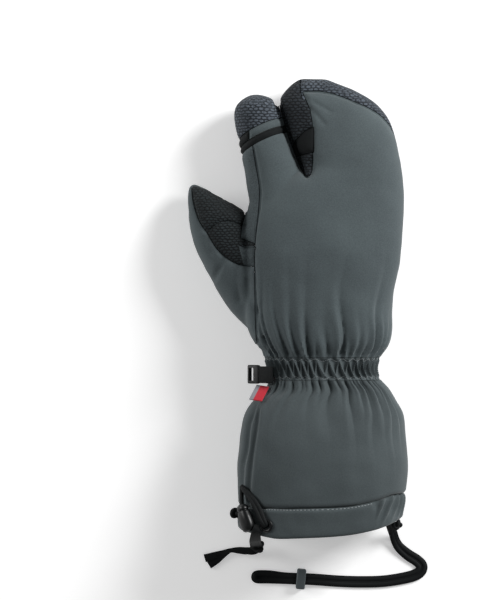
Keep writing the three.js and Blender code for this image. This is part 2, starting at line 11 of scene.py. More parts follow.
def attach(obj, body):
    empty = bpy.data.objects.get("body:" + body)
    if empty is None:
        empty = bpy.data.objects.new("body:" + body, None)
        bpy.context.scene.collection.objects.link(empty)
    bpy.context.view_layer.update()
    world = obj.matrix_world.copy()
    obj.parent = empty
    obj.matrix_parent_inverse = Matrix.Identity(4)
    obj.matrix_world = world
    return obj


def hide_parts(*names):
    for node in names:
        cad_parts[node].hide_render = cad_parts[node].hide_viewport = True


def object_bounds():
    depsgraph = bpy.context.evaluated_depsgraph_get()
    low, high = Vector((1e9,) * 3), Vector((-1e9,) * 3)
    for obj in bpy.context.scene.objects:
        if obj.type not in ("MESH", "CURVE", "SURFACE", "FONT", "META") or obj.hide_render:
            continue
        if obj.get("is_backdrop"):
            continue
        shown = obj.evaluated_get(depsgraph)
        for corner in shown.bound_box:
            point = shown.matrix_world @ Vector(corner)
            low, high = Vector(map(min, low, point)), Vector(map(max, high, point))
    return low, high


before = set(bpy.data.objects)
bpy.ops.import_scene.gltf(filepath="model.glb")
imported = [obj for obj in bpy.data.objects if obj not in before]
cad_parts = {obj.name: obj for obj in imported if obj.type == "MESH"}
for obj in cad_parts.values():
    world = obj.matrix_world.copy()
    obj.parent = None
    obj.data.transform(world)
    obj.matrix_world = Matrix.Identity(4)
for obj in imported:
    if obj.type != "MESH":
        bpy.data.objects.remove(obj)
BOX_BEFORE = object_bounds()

# A convertible mitten for the right hand, lying palm down, with its cords laid on the floor.
# Sizes are in millimetres in the mitten's own frame, whose origin is under its gathered wrist.
# The part's origin is WRIST_AT from there, and everything is brought to metres at the end.
MM = 0.001
WRIST_AT = Vector((17.0073, -44.2607, 0))

# Camera straight above, far enough to flatten the view
CAMERA_HEIGHT = 1800
FLOOR_MM_PER_PX = 0.72
PICTURE_PX_HIGH = 600
VIEW_CENTRE = Vector((-57.2, 48.04, 0))
camera_data = bpy.data.cameras.new("camera")
camera_data.sensor_fit = "VERTICAL"
camera_data.sensor_height = 24
camera_data.lens = 24 * CAMERA_HEIGHT / (PICTURE_PX_HIGH * FLOOR_MM_PER_PX)
camera_data.clip_end = 20
camera = bpy.data.objects.new("camera", camera_data)
camera.location = (VIEW_CENTRE + WRIST_AT + Vector((0, 0, CAMERA_HEIGHT))) * MM
bpy.context.collection.objects.link(camera)
bpy.context.scene.camera = camera

# Roundness of a section above and below its middle: 2 is an ellipse, and more is squarer
TOP_ROUNDNESS = 2.3
PALM_ROUNDNESS = 3.0
HAND_WALL = 5.5
SIDE_SEAM_Z = 25
# Gap between panels in the solids, and as drawn where it shows and on the underside
SEAM_GAP = 0.3
SEAM_SEEN = 0.5
SEAM_UNDER = 0.15
# Where the hand is cut square at the wrist, and the radius that turns angles there into lengths
WRIST_END = 8.2
WRIST_RADIUS = 41
# Half the width of the elasticated band at the wrist
BAND_REACH = 8
# Fineness of the hand's skin, of the coarse one that is simulated, and of the hollow
VOXEL = 1.2
COARSE_VOXEL = 4.5
HOLLOW_VOXEL = 3.0
# Fewer vertices than this are a crumb left by a cut
CRUMB = 120
# Farther than anything, and heights below and above all of the mitten
FAR = 500.0
BELOW_ALL, ABOVE_ALL = -40, 140

# Outline of the mitten by its distance from the wrist: left, right, underside and top
OUTLINE = np.array([
    (-117, -57.4, 58.2, -3, 74.5), (-92, -58.2, 59.5, -3, 75.5), (-65, -58.5, 61, -3, 75.5),
    (-45, -57.4, 59, -3, 73), (-32, -54, 57.2, -1.5, 70), (-22, -46.8, 52, 1, 66.5),
    (-15, -38.8, 47.2, 4, 63.5), (-8, -36.2, 40.8, 7.5, 61), (0, -36.6, 38.4, 8.5, 60),
    (8, -39.5, 41, 7.5, 61), (16, -45.5, 47, 4.5, 63.5), (26, -50.5, 49.6, 0.5, 64.5),
    (38, -53.5, 49.4, -2, 64), (55, -54.5, 51, -3, 62.5), (78, -54, 54.5, -3, 60.5),
    (100, -53, 57.4, -3, 58), (116, -50.5, 58.4, -3, 55.5), (126, -44, 58.6, -3, 53.5),
    (134, -29, 58.2, -3, 52), (141, -17.5, 57.6, -3, 50.5), (152, -20.5, 55.8, -3, 48.5),
    (163, -25, 53.4, -3, 46), (174, -28.5, 49.6, -3, 43), (183, -30.5, 44.4, -2, 39.5),
    (190, -29.2, 37.2, 0, 36), (196, -25.4, 26.5, 3.5, 31.5), (201, -20, 14.5, 7.5, 27),
    (204.8, -14, 5, 12.5, 21.5),
])
# Where the back meets the thumb, to the left of the middle
THUMB_EDGE = 46
# Sections of the index finger and of the thumb: centre, half width and depth, and turn in degrees
INDEX = np.array([
    (-24, 98, 27, 18, 21, 13), (-29.6, 120, 26.5, 20.4, 22, 12), (-34.4, 142, 24.5, 19.4, 21, 13),
    (-39, 156, 23, 18.2, 20, 14), (-42.4, 169.6, 22, 16.9, 19, 12), (-44.8, 180, 21, 16.4, 17.6, 6),
    (-45.2, 186.6, 20, 14.8, 15.2, 5), (-45.5, 191, 19, 10.4, 11, 4), (-45.3, 193.9, 18, 4, 5, 0),
])
THUMB = np.array([
    (-14, 30, 24, 23, 20, 53), (-30, 42, 23, 24.5, 21.5, 48), (-44, 55, 22, 24.3, 22, 41),
    (-57.2, 73, 21, 23, 21.5, 32), (-67.6, 91, 20, 22, 20.5, 22), (-72.2, 105, 19, 21.2, 18.8, 11),
    (-78, 113.9, 18, 16.6, 15.6, 6), (-83.8, 121.6, 17, 11.2, 11.4, 3),
    (-88.3, 127.6, 16, 6, 6.8, 2), (-90, 130.9, 15.5, 2, 2.4, 0),
])


def smooth_row(table, at, key=0):
    """Rows of a table at places along its key column, smoothly between the rows that it has."""
    at = np.atleast_1d(np.asarray(at, float))
    keys = table[:, key]
    last = len(keys) - 1
    i = np.clip(np.searchsorted(keys, at, side="right") - 1, 0, last - 1)
    rows = np.arange(last + 1)
    before, after = np.maximum(rows - 1, 0), np.minimum(rows + 1, last)
    slope = (table[after] - table[before]) / (keys[after] - keys[before])[:, None]
    span = (keys[i + 1] - keys[i])
    t = np.clip((at - keys[i]) / span, 0, 1)[:, None]
    span = span[:, None]
    return (
        (2 * t**3 - 3 * t**2 + 1) * table[i] + (t**3 - 2 * t**2 + t) * span * slope[i]
        + (3 * t**2 - 2 * t**3) * table[i + 1] + (t**3 - t**2) * span * slope[i + 1]
    )


def signed_power(value, power):
    """The power of the value's size, with the value's sign."""
    return np.sign(value) * np.abs(value) ** power


def outline_points(y, angle, inset=0.0):
    """Points of the mitten's plain outline at distances from the wrist and angles round it."""
    row = smooth_row(OUTLINE, y)
    left, right = row[:, 1] + inset, row[:, 2] - inset
    under, top = row[:, 3] + inset, row[:, 4] - inset
    c, s = np.cos(angle), np.sin(angle)
    power = np.where(s > 0, 2 / TOP_ROUNDNESS, 2 / PALM_ROUNDNESS)
    x = (left + right) / 2 + (right - left) / 2 * signed_power(c, power)
    z = (under + top) / 2 + (top - under) / 2 * signed_power(s, power)
    return np.stack([x, np.asarray(y, float) + 0 * x, np.maximum(z, inset)], axis=1)


def outline_angle(points):
    """The angle round the mitten's section at each point, by that formula the other way about."""
    row = smooth_row(OUTLINE, points[:, 1])
    u = (points[:, 0] - (row[:, 1] + row[:, 2]) / 2) / ((row[:, 2] - row[:, 1]) / 2)
    v = (points[:, 2] - (row[:, 3] + row[:, 4]) / 2) / ((row[:, 4] - row[:, 3]) / 2)
    power = np.where(v > 0, TOP_ROUNDNESS / 2, PALM_ROUNDNESS / 2)
    return np.arctan2(signed_power(v, power), signed_power(u, power))


def ramp(low, high, value):
    """From 0 at low to 1 at high, smoothly."""
    t = np.clip((value - low) / (high - low), 0, 1)
    return t * t * (3 - 2 * t)


def hump(distance, half):
    """1 at no distance, fading like a bell over about the half width."""
    return np.exp(-((distance / half) ** 2))


def new_object(name, bm):
    """An object of a bmesh modelled in millimetres in the mitten's frame."""
    mesh = bpy.data.meshes.new(name)
    bm.to_mesh(mesh)
    bm.free()
    piece = bpy.data.objects.new(name, mesh)
    bpy.context.collection.objects.link(piece)
    return piece


def coords(mesh):
    """The mesh's vertices as rows of x, y and z."""
    flat = np.empty(len(mesh.vertices) * 3)
    mesh.vertices.foreach_get("co", flat)
    return flat.reshape(-1, 3)


def set_coords(mesh, points):
    mesh.vertices.foreach_set("co", np.ascontiguousarray(points).ravel())
    mesh.update()


def vertex_normals(mesh):
    flat = np.empty(len(mesh.vertices) * 3)
    mesh.vertex_normals.foreach_get("vector", flat)
    return flat.reshape(-1, 3)


def flat_grid(around, rows):
    """A grid to roll up, with the column round the section and the row of each vertex."""
    bm = bmesh.new()
    bmesh.ops.create_grid(bm, x_segments=around, y_segments=rows, size=1)
    flat = np.array([(v.co.x, v.co.y) for v in bm.verts])
    column = np.rint((flat[:, 0] + 1) / 2 * around).astype(int) % around
    return bm, column, np.rint((flat[:, 1] + 1) / 2 * rows).astype(int)


def rolled_up(bm, points, capped, merge=0.0002):
    """The grid with its vertices at the points, sewn along its edges and capped where asked."""
    for vert, point in zip(bm.verts, points):
        vert.co = point
    bmesh.ops.remove_doubles(bm, verts=bm.verts, dist=merge)
    if capped:
        bmesh.ops.holes_fill(bm, edges=bm.edges, sides=0)
    bmesh.ops.recalc_face_normals(bm, faces=bm.faces)
    return bm


def loft_bmesh(around, levels, place):
    """A closed loft: a grid rolled up round the section, whose ends are capped."""
    bm, column, row = flat_grid(around, len(levels) - 1)
    points = place(np.asarray(levels, float)[row], 2 * math.pi * column / around)
    return rolled_up(bm, points, capped=True, merge=0.0005)


def spline(points, t):
    """Places on a smooth line through the points, for t from 0 at the first to 1 at the last."""
    points = np.asarray(points, float)
    ends = np.vstack([2 * points[0] - points[1], points, 2 * points[-1] - points[-2]])
    t = np.clip(np.asarray(t, float), 0, 1) * (len(points) - 1)
    i = np.minimum(t.astype(int), len(points) - 2)
    f = (t - i)[:, None]
    a, b, c, d = ends[i], ends[i + 1], ends[i + 2], ends[i + 3]
    return 0.5 * (
        2 * b + (c - a) * f + (2 * a - 5 * b + 4 * c - d) * f**2
        + (3 * b - a - 3 * c + d) * f**3
    )


def finger_place(table, inset):
    """place(level, angle) of a finger whose level is the row number of its table."""
    rows = np.column_stack([np.arange(len(table)), table])

    def place(level, angle):
        row = smooth_row(rows, level)
        turn = np.radians(row[:, 6])
        reach = (row[:, 4] - inset) * np.cos(angle)
        height = row[:, 3] + (row[:, 5] - inset) * np.sin(angle)
        return np.column_stack([
            row[:, 1] + reach * np.cos(turn), row[:, 2] + reach * np.sin(turn),
            np.maximum(height, max(inset, 0))])

    return place


def remeshed(bms, voxel, name):
    """One smooth skin round several closed lofts."""
    whole = bmesh.new()
    for bm in bms:
        mesh = bpy.data.meshes.new("loft")
        bm.to_mesh(mesh)
        bm.free()
        whole.from_mesh(mesh)
        bpy.data.meshes.remove(mesh)
    piece = new_object(name, whole)
    remesh = piece.modifiers.new("one skin", "REMESH")
    remesh.mode = "VOXEL"
    remesh.voxel_size = voxel
    return applied(piece)


def applied(piece):
    """The piece with its modifiers made part of its mesh."""
    graph = bpy.context.evaluated_depsgraph_get()
    mesh = bpy.data.meshes.new_from_object(piece.evaluated_get(graph))
    piece.modifiers.clear()
    old = piece.data
    piece.data = mesh
    bpy.data.meshes.remove(old)
    return piece


def relaxed(piece, times):
    """Smooths a skin."""
    bm = bmesh.new()
    bm.from_mesh(piece.data)
    for _ in range(times):
        bmesh.ops.smooth_vert(
            bm, verts=bm.verts, factor=0.5, use_axis_x=True, use_axis_y=True, use_axis_z=True)
    bm.to_mesh(piece.data)
    bm.free()
    return piece


def combined(piece, other, operation):
    """The piece joined with, cut by or kept inside another closed piece."""
    cut = piece.modifiers.new("cut", "BOOLEAN")
    cut.operation = operation
    cut.solver = "MANIFOLD"
    cut.object = other
    return applied(piece)


def copy_of(piece, name):
    twin = piece.copy()
    twin.data = piece.data.copy()
    twin.name = name
    bpy.context.collection.objects.link(twin)
    return twin


def drop(*pieces):
    for piece in pieces:
        bpy.data.objects.remove(piece)


# Seam lines as seen from above. A line's listed corners stay sharp, and the rest is smooth
BACK_LINE = [
    (-43.5, 0), (-45.6, 22), (-46.4, 40), (-46.6, 71.6), (-46.3, 87.8), (-44.9, 100.6),
    (-43.5, 116.8), (-43.6, 129), (-46.6, 147.2), (-50.5, 172), (-25.8, 172), (-23, 163),
    (-18.8, 152), (-15.4, 143.5), (-13, 138.2), (-11.8, 135.6), (-9.6, 134.4), (-7.4, 135.8),
    (-6.3, 139.4), (-5.9, 145), (-5.8, 155), (-6, 172), (-7.6, 182.4), (-10, 188.4),
    (-12.6, 195.4), (-0.8, 195.6), (10.1, 193.2), (20.9, 189), (34.5, 183.2), (44.2, 176.8),
    (51.5, 168.4), (62, 158), (80, 150), (80, 0),
]
BACK_CORNERS = (0, 9, 10, 24, 32, 33)
SLOT_LINE = [
    (-17.6, 149.9), (-5.4, 152), (-5.4, 169.8), (-11.6, 166.9), (-15.4, 163.1), (-19.6, 157.3),
]
STRIP_LINE = [
    (-40, 88), (-46.3, 87.8), (-56.5, 92), (-55.5, 101), (-53.5, 109), (-56, 118), (-70, 125),
    (-70, 190), (-40, 190),
]
HOOD_LINE = [
    (-15.6, 145), (-12, 133), (-6, 128), (12, 116), (34, 99), (52, 88), (80, 82), (80, 230),
    (-60, 230), (-60, 208), (-34, 202), (-30.8, 190), (-27.6, 178), (-24.1, 166.6), (-19.7, 155.5),
]
THUMB_TOP_LINE = [
    (-46.6, 71.4), (-56.9, 72.3), (-65, 76), (-73.4, 83.5), (-80.6, 95), (-86.5, 104),
    (-90.6, 116.6), (-92, 128.9), (-93, 150), (-130, 150), (-130, 0), (-30, 0), (-40, 60),
]
THUMB_PALM_LINE = [
    (-34, 49), (-42, 60), (-53, 79), (-58.5, 88), (-64, 99), (-69, 110),
    (-74, 121), (-79, 130), (-83, 150), (-130, 150), (-130, 0), (-26, 0), (-27, 34),
]
GRIP_TOP_LINE = [(-30, 87.5), (-30, 60), (-100, 60), (-110, 150), (-60, 150), (-48, 120)]
GRIP_PALM_LINE = [
    (-18, 40), (-49, 89), (-53, 113), (-60, 150), (-110, 150), (-110, 60), (-60, 30), (-20, 30),
]
WEB_LINE = [
    (-17.4, 42), (-12.5, 46), (-9, 56), (-8.9, 66), (-12.5, 80), (-21, 92.6), (-31, 100),
    (-44, 105), (-52, 104), (-48.4, 90),
]
HEEL_LINE = [(-29, 0), (-27, 26), (80, 26), (80, 0)]
FINGER_LINE = [
    (-80, 142), (-80, 215), (-30, 215), (-30.6, 190), (-27.3, 178), (-23.8, 166.6), (-19.4, 155.5),
]


def softened(line, corners, step=3.0):
    """The closed line with a point every few millimetres, smooth but for its corners."""
    count = len(line)
    points = np.array(line, float)
    out = []
    for i in range(count):
        a, b = points[i], points[(i + 1) % count]
        before = a - (b - a) if i in corners else points[i - 1]
        after = b + (b - a) if (i + 1) % count in corners else points[(i + 2) % count]
        pieces = max(1, int(np.linalg.norm(b - a) / step))
        for k in range(pieces):
            f = k / pieces
            out.append(0.5 * (
                2 * a + (b - before) * f + (2 * before - 5 * a + 4 * b - after) * f**2
                + (3 * a - before - 3 * b + after) * f**3))
    return np.array(out)


def line_distance(points, line):
    """Signed distance from points to a closed line, negative inside, with the outward direction."""
    a = line
    b = np.roll(line, -1, axis=0)
    best = np.full(len(points), 1e9)
    near = np.zeros((len(points), 2))
    inside = np.zeros(len(points), bool)
    for p, q in zip(a, b):
        edge = q - p
        t = np.clip(((points - p) @ edge) / (edge @ edge), 0, 1)
        foot = p + t[:, None] * edge
        d = np.linalg.norm(points - foot, axis=1)
        closer = d < best
        best[closer], near[closer] = d[closer], foot[closer]
        crosses = ((p[1] > points[:, 1]) != (q[1] > points[:, 1])) & (
            points[:, 0] < (q[0] - p[0]) * (points[:, 1] - p[1]) / (q[1] - p[1] + 1e-12) + p[0])
        inside ^= crosses
    out = (points - near) / np.maximum(best, 1e-6)[:, None]
    return np.where(inside, -best, best), out * np.where(inside, -1, 1)[:, None]


def path_distance(points, path):
    """Distance from points to an open line, all seen from above."""
    best = np.full(len(points), FAR)
    for p, q in zip(np.array(path[:-1], float), np.array(path[1:], float)):
        edge = q - p
        t = np.clip(((points - p) @ edge) / (edge @ edge), 0, 1)
        best = np.minimum(best, np.linalg.norm(points - (p + t[:, None] * edge), axis=1))
    return best


# The crease where the index finger lies against the hood
FINGER_CREASE = [
    (-31.6, 193), (-30.1, 186.9), (-26.5, 174.9), (-24.4, 167.9), (-22, 160.8), (-18.8, 153.8),
    (-16.3, 146.7), (-13.5, 139.7), (-10.7, 134.8),
]
# Short creases that the tab at the wrist pulls into the cloth above it
TAB_CREASES = [
    [(-48.7, 17.3), (-42.3, 11.7), (-37.4, 2.9)], [(-45.5, 19.8), (-39.8, 11.7), (-36.7, 3.7)],
    [(-41.4, 21.4), (-37.9, 11.7), (-35.5, 4)],
]
# Soft dents of the thumb, and of the back below the hood: line, depth and half width
SOFT_DENTS = [
    ([(-75.2, 63), (-69, 75.6)], 1.3, 2.2), ([(-59.6, 70.5), (-60.4, 60), (-57.5, 48)], 1.1, 2.2),
    ([(-52, 62), (-50.5, 50), (-46, 40)], 0.9, 2.0), ([(-82, 92), (-77.5, 82)], 0.8, 2.0),
    ([(-8, 184), (2, 172)], 0.9, 1.6), ([(-5, 188), (6, 181)], 0.7, 1.5),
]
# Seams inside pieces, with the heights that they lie between: the short seam down the side of
# the hood, the arc over the web and the seam across the side strip. SEAMS_IN_PIECES says which
# piece each is cut into
INNER_SEAMS = [
    ([(-14.4, 206), (-14.2, 196), (-13.2, 190)], 20, FAR),
    ([(-78.8, 97.6), (-75, 101), (-70, 103.4), (-64.5, 103.6), (-58, 102.2), (-53.5, 101)],
     22, FAR),
    ([(-56, 85.6), (-50, 84.8), (-45.8, 84.4)], 22, FAR),
]
SEAMS_IN_PIECES = (("mitten_hood", 0), ("thumb_grip", 1), ("side_strip", 2), ("thumb_grip", 2))
# Middle of the elastic band, the index finger's axis there, and the widths beside it
BAND_CENTRE = np.array((-41, 161.4, 24.0))
FINGER_AXIS = np.array(Vector((-0.427, 0.897, -0.117)).normalized())
BAND_WIDTH = 4.4
STRIP_WIDTH = 5.6
STRIP_LEFT = -51.2


class Region:
    """The space above a closed line, between two heights and two planes across the finger."""

    def __init__(self, line, corners, low=-FAR, high=FAR, axis=None):
        self.line = softened(line, corners)
        self.low, self.high, self.axis = low, high, axis

    def field(self, points):
        """Signed distance, negative inside, and the direction away from the region."""
        best = np.full(len(points), -FAR * 4)
        out = np.zeros((len(points), 3))

        def wall(distance, direction):
            nearer = distance > best
            best[nearer] = distance[nearer]
            out[nearer] = direction[nearer] if direction.ndim > 1 else direction

        d, n = line_distance(points[:, :2], self.line)
        wall(d, np.column_stack([n, np.zeros(len(n))]))
        wall(points[:, 2] - self.high, np.array([0.0, 0, 1]))
        wall(self.low - points[:, 2], np.array([0.0, 0, -1]))
        if self.axis is not None:
            along = (points - BAND_CENTRE) @ FINGER_AXIS
            wall(along - self.axis[1], FINGER_AXIS)
            wall(self.axis[0] - along, -FINGER_AXIS)
        return best, out

    def solid(self, grow):
        """A closed prism of the region, grown by a little all round."""
        line = self.line
        bm = bmesh.new()
        bmesh.ops.create_circle(bm, segments=len(line), radius=1, cap_ends=True)
        bm.verts.ensure_lookup_table()
        order = sorted(bm.verts, key=lambda v: math.atan2(v.co.y, v.co.x))
        ahead = np.roll(line, -1, axis=0) - line
        back = line - np.roll(line, 1, axis=0)
        x, y = line[:, 0], line[:, 1]
        turn = math.copysign(1, np.sum(x * np.roll(y, -1) - np.roll(x, -1) * y))

        def square(v):
            n = np.column_stack([v[:, 1], -v[:, 0]])
            return n / np.maximum(np.linalg.norm(n, axis=1), 1e-9)[:, None]

        normal = square(ahead) + square(back)
        normal /= np.maximum(np.linalg.norm(normal, axis=1), 1e-9)[:, None]
        low = max(self.low, BELOW_ALL) - grow
        high = min(self.high, ABOVE_ALL) + grow
        for vert, (x, y) in zip(order, line + normal * turn * grow):
            vert.co = (x, y, low)
        bmesh.ops.triangulate(bm, faces=bm.faces)
        grown = bmesh.ops.extrude_face_region(bm, geom=list(bm.faces))
        bmesh.ops.translate(bm, vec=(0, 0, high - low),
                            verts=[g for g in grown["geom"] if isinstance(g, bmesh.types.BMVert)])
        if self.axis is not None:
            for distance, direction in ((self.axis[0] - grow, -1), (self.axis[1] + grow, 1)):
                if abs(distance) >= FAR:
                    continue
                cut = bmesh.ops.bisect_plane(
                    bm, geom=list(bm.verts) + list(bm.edges) + list(bm.faces), dist=1e-5,
                    plane_co=Vector(BAND_CENTRE + FINGER_AXIS * distance),
                    plane_no=Vector(FINGER_AXIS * direction), clear_outer=True)
                rim = [g for g in cut["geom_cut"] if isinstance(g, bmesh.types.BMEdge)]
                bmesh.ops.holes_fill(bm, edges=rim, sides=0)
            bmesh.ops.triangulate(bm, faces=[f for f in bm.faces if len(f.verts) > 4])
        bmesh.ops.recalc_face_normals(bm, faces=bm.faces)
        return new_object("region", bm)


SQUARE = (0, 1, 2, 3)
BAND_HALF = BAND_WIDTH / 2
STRIP_END = BAND_HALF + SEAM_GAP + STRIP_WIDTH
GUSSET_LINE = [(-90, 140), (STRIP_LEFT, 140), (STRIP_LEFT, 200), (-90, 200)]
TOP_STRIP_LINE = [
    (STRIP_LEFT, 150), (-18, 150), (-19.4, 155.5), (-23.8, 166.6), (-27.3, 178), (-30.6, 190),
    (-30.6, 200), (STRIP_LEFT, 200),
]
FINGER_CORNERS = (0, 1, 2, 3, 6)
THUMB_CORNERS = (0, 8, 9, 10, 11, 12)
# Panels in the order that they are cut out, each with its material and the regions it covers
PANELS = [
    ("finger_band", "stretch", [
        Region(FINGER_LINE, FINGER_CORNERS, axis=(-BAND_HALF, BAND_HALF))]),
    ("finger_gusset", "stretch", [
        Region(GUSSET_LINE, SQUARE, low=8, axis=(BAND_HALF, STRIP_END))]),
    ("finger_strip", "softshell", [
        Region(TOP_STRIP_LINE, (0, 1, 6, 7), low=SIDE_SEAM_Z, axis=(BAND_HALF, STRIP_END))]),
    ("finger_cap", "cap", [Region(FINGER_LINE, FINGER_CORNERS, axis=(BAND_HALF, FAR))]),
    ("slot_panel", "stretch", [Region(SLOT_LINE, (0, 1, 2), low=12)]),
    ("back_panel", "softshell", [Region(BACK_LINE, BACK_CORNERS, low=SIDE_SEAM_Z)]),
    ("mitten_hood", "cap", [Region(HOOD_LINE, (0, 7, 8, 9))]),
    ("palm_heel", "softshell", [Region(HEEL_LINE, SQUARE, high=SIDE_SEAM_Z)]),
    ("side_strip", "strip", [Region(STRIP_LINE, (0, 1, 2, 7, 8), low=13)]),
    ("thumb_panel", "softshell", [
        Region(THUMB_TOP_LINE, THUMB_CORNERS, low=18),
        Region(THUMB_PALM_LINE, THUMB_CORNERS, high=18)]),
    ("thumb_grip", "thumb", [
        Region(GRIP_TOP_LINE, range(6), low=17), Region(GRIP_PALM_LINE, range(8), high=17)]),
    ("web_patch", "palm", [Region(WEB_LINE, (0, 8, 9), high=16)]),
]


def seam_distance(points, normals):
    """How far each point of the skin is, along the skin, from the nearest seam."""
    nearest = np.full(len(points), FAR)
    taken = np.zeros(len(points), bool)
    for _, _, regions in PANELS:
        fields = [region.field(points) for region in regions]
        distance = np.min([f[0] for f in fields], axis=0)
        pick = np.argmin([f[0] for f in fields], axis=0)
        out = np.where((pick == 0)[:, None], fields[0][1], fields[-1][1])
        lean = np.sqrt(np.clip(1 - np.sum(normals * out, axis=1) ** 2, 0.04, 1))
        along = np.abs(distance) / lean
        open_here = ~taken
        nearest[open_here] = np.minimum(nearest[open_here], along[open_here])
        taken |= distance < 0
    return nearest


# Creases that run out of the wrist on its top: how far across, depth, half width and reach, one
# for each that shows in the photograph
HAND_CREASES = [
    (-34.5, 2.0, 1.5, 24), (-31.8, 1.4, 1.3, 46), (-24.7, 2.0, 2.0, 42), (-17.0, 2.1, 2.2, 44),
    (-9.6, 2.7, 2.2, 46), (-3.4, 1.1, 1.5, 20), (2.4, 1.9, 2.0, 32), (11.6, 3.0, 2.4, 50),
    (16.6, 1.2, 1.5, 18), (21.0, 1.4, 1.7, 22), (26.2, 1.1, 1.5, 16), (31.5, 2.8, 2.3, 44),
    (36.0, 1.7, 1.6, 24), (39.0, 1.9, 1.6, 20),
]
# The same out of the wrist down the gauntlet
CUFF_CREASES = [
    (-34.5, 1.5, 1.5, 18), (-30.4, 1.2, 1.5, 14), (-24.5, 2.2, 2.2, 26), (-17.2, 1.3, 1.7, 16),
    (-10.5, 1.5, 1.9, 22), (-4.2, 1.5, 1.7, 20), (1.5, 2.7, 2.3, 32), (8.5, 1.4, 1.6, 18),
    (14.2, 2.7, 2.3, 34), (20.0, 1.6, 1.6, 22), (25.0, 2.3, 2.0, 34), (30.5, 2.0, 1.9, 28),
    (35.0, 2.2, 1.8, 36), (38.2, 2.0, 1.6, 30),
]


def hashed(number, seed):
    """An uneven value from 0 to 1 for each number."""
    return (math.sin(number * 12.9898 + seed * 78.233) * 43758.5453) % 1


CREASES_UNDER = 13


def round_wrist(creases, seed):
    """The creases by their angle round the wrist, with others like them on the underside."""
    out = []
    for across, *shape in creases:
        share = across / WRIST_RADIUS
        out.append((math.acos(np.clip(share, -1, 1) * abs(share) ** 0.15), *shape))
    for k in range(CREASES_UNDER):
        angle = -math.pi * (k + 0.3 + 0.5 * hashed(k, seed)) / CREASES_UNDER
        out.append((angle, 1.1 + 1.2 * hashed(k, seed + 1), 1.6 + 0.6 * hashed(k, seed + 2),
                    16 + 24 * hashed(k, seed + 3)))
    return out


HAND_ROUND = round_wrist(HAND_CREASES, 1)
CUFF_ROUND = round_wrist(CUFF_CREASES, 5)


FINE_GATHERS = 27
FINE_REACH = 11
SWELL_REACH = 25


def gathers(y, angle):
    """How far the cloth stands out at a distance from the wrist and an angle round it: fine
    gathers that fade, creases that are steep on one side with a crest beside them, and a swell."""
    beyond = np.maximum(np.abs(y) - BAND_REACH, 0)
    fine = 0.9 * np.abs(np.sin(FINE_GATHERS * angle + 1.1 * np.sin(3 * angle))) ** 0.7 - 0.6
    rise = fine * np.exp(-((beyond / FINE_REACH) ** 1.5))
    for side, creases in ((y >= 0, HAND_ROUND), (y < 0, CUFF_ROUND)):
        depth_here = np.zeros(len(angle))
        for number, (at, depth, half, reach) in enumerate(creases):
            # each wanders a little to one side, grows wider and fades with the distance
            sway = 0.0016 * (hashed(number, 9) - 0.5) * beyond
            sway = sway + 0.02 * np.sin(beyond / 9 + 6 * hashed(number, 4))
            across = -((angle - at - sway + math.pi) % (2 * math.pi) - math.pi) * WRIST_RADIUS
            wide = half * (1 + 0.8 * np.minimum(beyond / reach, 1))
            fall = np.clip(1 + across / (0.8 * wide), 0, 1)
            climb = np.clip(1 - across / (2.3 * wide), 0, 1)
            shape = np.where(across < 0, fall**1.2, climb**2.0)
            crest = 0.28 * hump(across + 1.1 * wide, 0.6 * wide)
            fade = np.exp(-((beyond / reach) ** 1.8) * 1.3) * ramp(-2, 3, beyond)
            depth_here += 1.3 * depth * fade * (crest - shape)
        rise += np.where(side, depth_here, 0)
    return rise + 0.5 * hump(beyond, SWELL_REACH)


def cloth_noise(points, size, seed):
    """Unevenness of about the size, from -1 to 1."""
    return np.array([noise.noise(Vector(p) / size + Vector((seed, 0, 0))) for p in points])


CLOTH_PRESSURE = 4
CLOTH_FRAMES = 20
MOST_PUFF = 2.2
# What holds the skin: this near a seam or the finger's crease, this near the wrist and this low
HELD_BY_SEAM = 2.6
HELD_BY_CREASE = 3.5
HELD_BY_WRIST = 34
HELD_BY_FLOOR = 1.5


def puffed(skin):
    """Blows up a coarse skin with a cloth simulation, while its seams, its wrist and the floor
    hold it; returns its places and how each moved."""
    rest = coords(skin.data)
    held = seam_distance(rest, vertex_normals(skin.data)) < HELD_BY_SEAM
    held |= (rest[:, 1] < HELD_BY_WRIST) | (rest[:, 2] < HELD_BY_FLOOR)
    held |= path_distance(rest[:, :2], FINGER_CREASE) < HELD_BY_CREASE
    set_coords(skin.data, rest * MM)
    pins = skin.vertex_groups.new(name="pins")
    pins.add([int(i) for i in np.flatnonzero(held)], 1.0, "ADD")
    cloth = skin.modifiers.new("cloth", "CLOTH")
    cloth.settings.quality = 6
    cloth.settings.vertex_group_mass = "pins"
    cloth.settings.use_pressure = True
    cloth.settings.uniform_pressure_force = CLOTH_PRESSURE
    cloth.settings.effector_weights.gravity = 0
    for frame_number in range(1, CLOTH_FRAMES + 1):
        bpy.context.scene.frame_set(frame_number)
    graph = bpy.context.evaluated_depsgraph_get()
    blown = skin.evaluated_get(graph).to_mesh()
    move = coords(blown) / MM - rest
    skin.evaluated_get(graph).to_mesh_clear()
    bpy.context.scene.frame_set(1)
    far = np.linalg.norm(move, axis=1)[:, None]
    return rest, move * np.minimum(1, MOST_PUFF / np.maximum(far, 1e-6))


def spread(places, move, points, nearest=6):
    """The move of the nearest places, shared out smoothly over other points."""
    tree = KDTree(len(places))
    for i, place in enumerate(places):
        tree.insert(place, i)
    tree.balance()
    out = np.zeros((len(points), 3))
    for i, point in enumerate(points):
        near = tree.find_n(point, nearest)
        weight = np.array([1 / (0.5 + n[2]) ** 2 for n in near])
        out[i] = weight @ move[[n[1] for n in near]] / weight.sum()
    return out


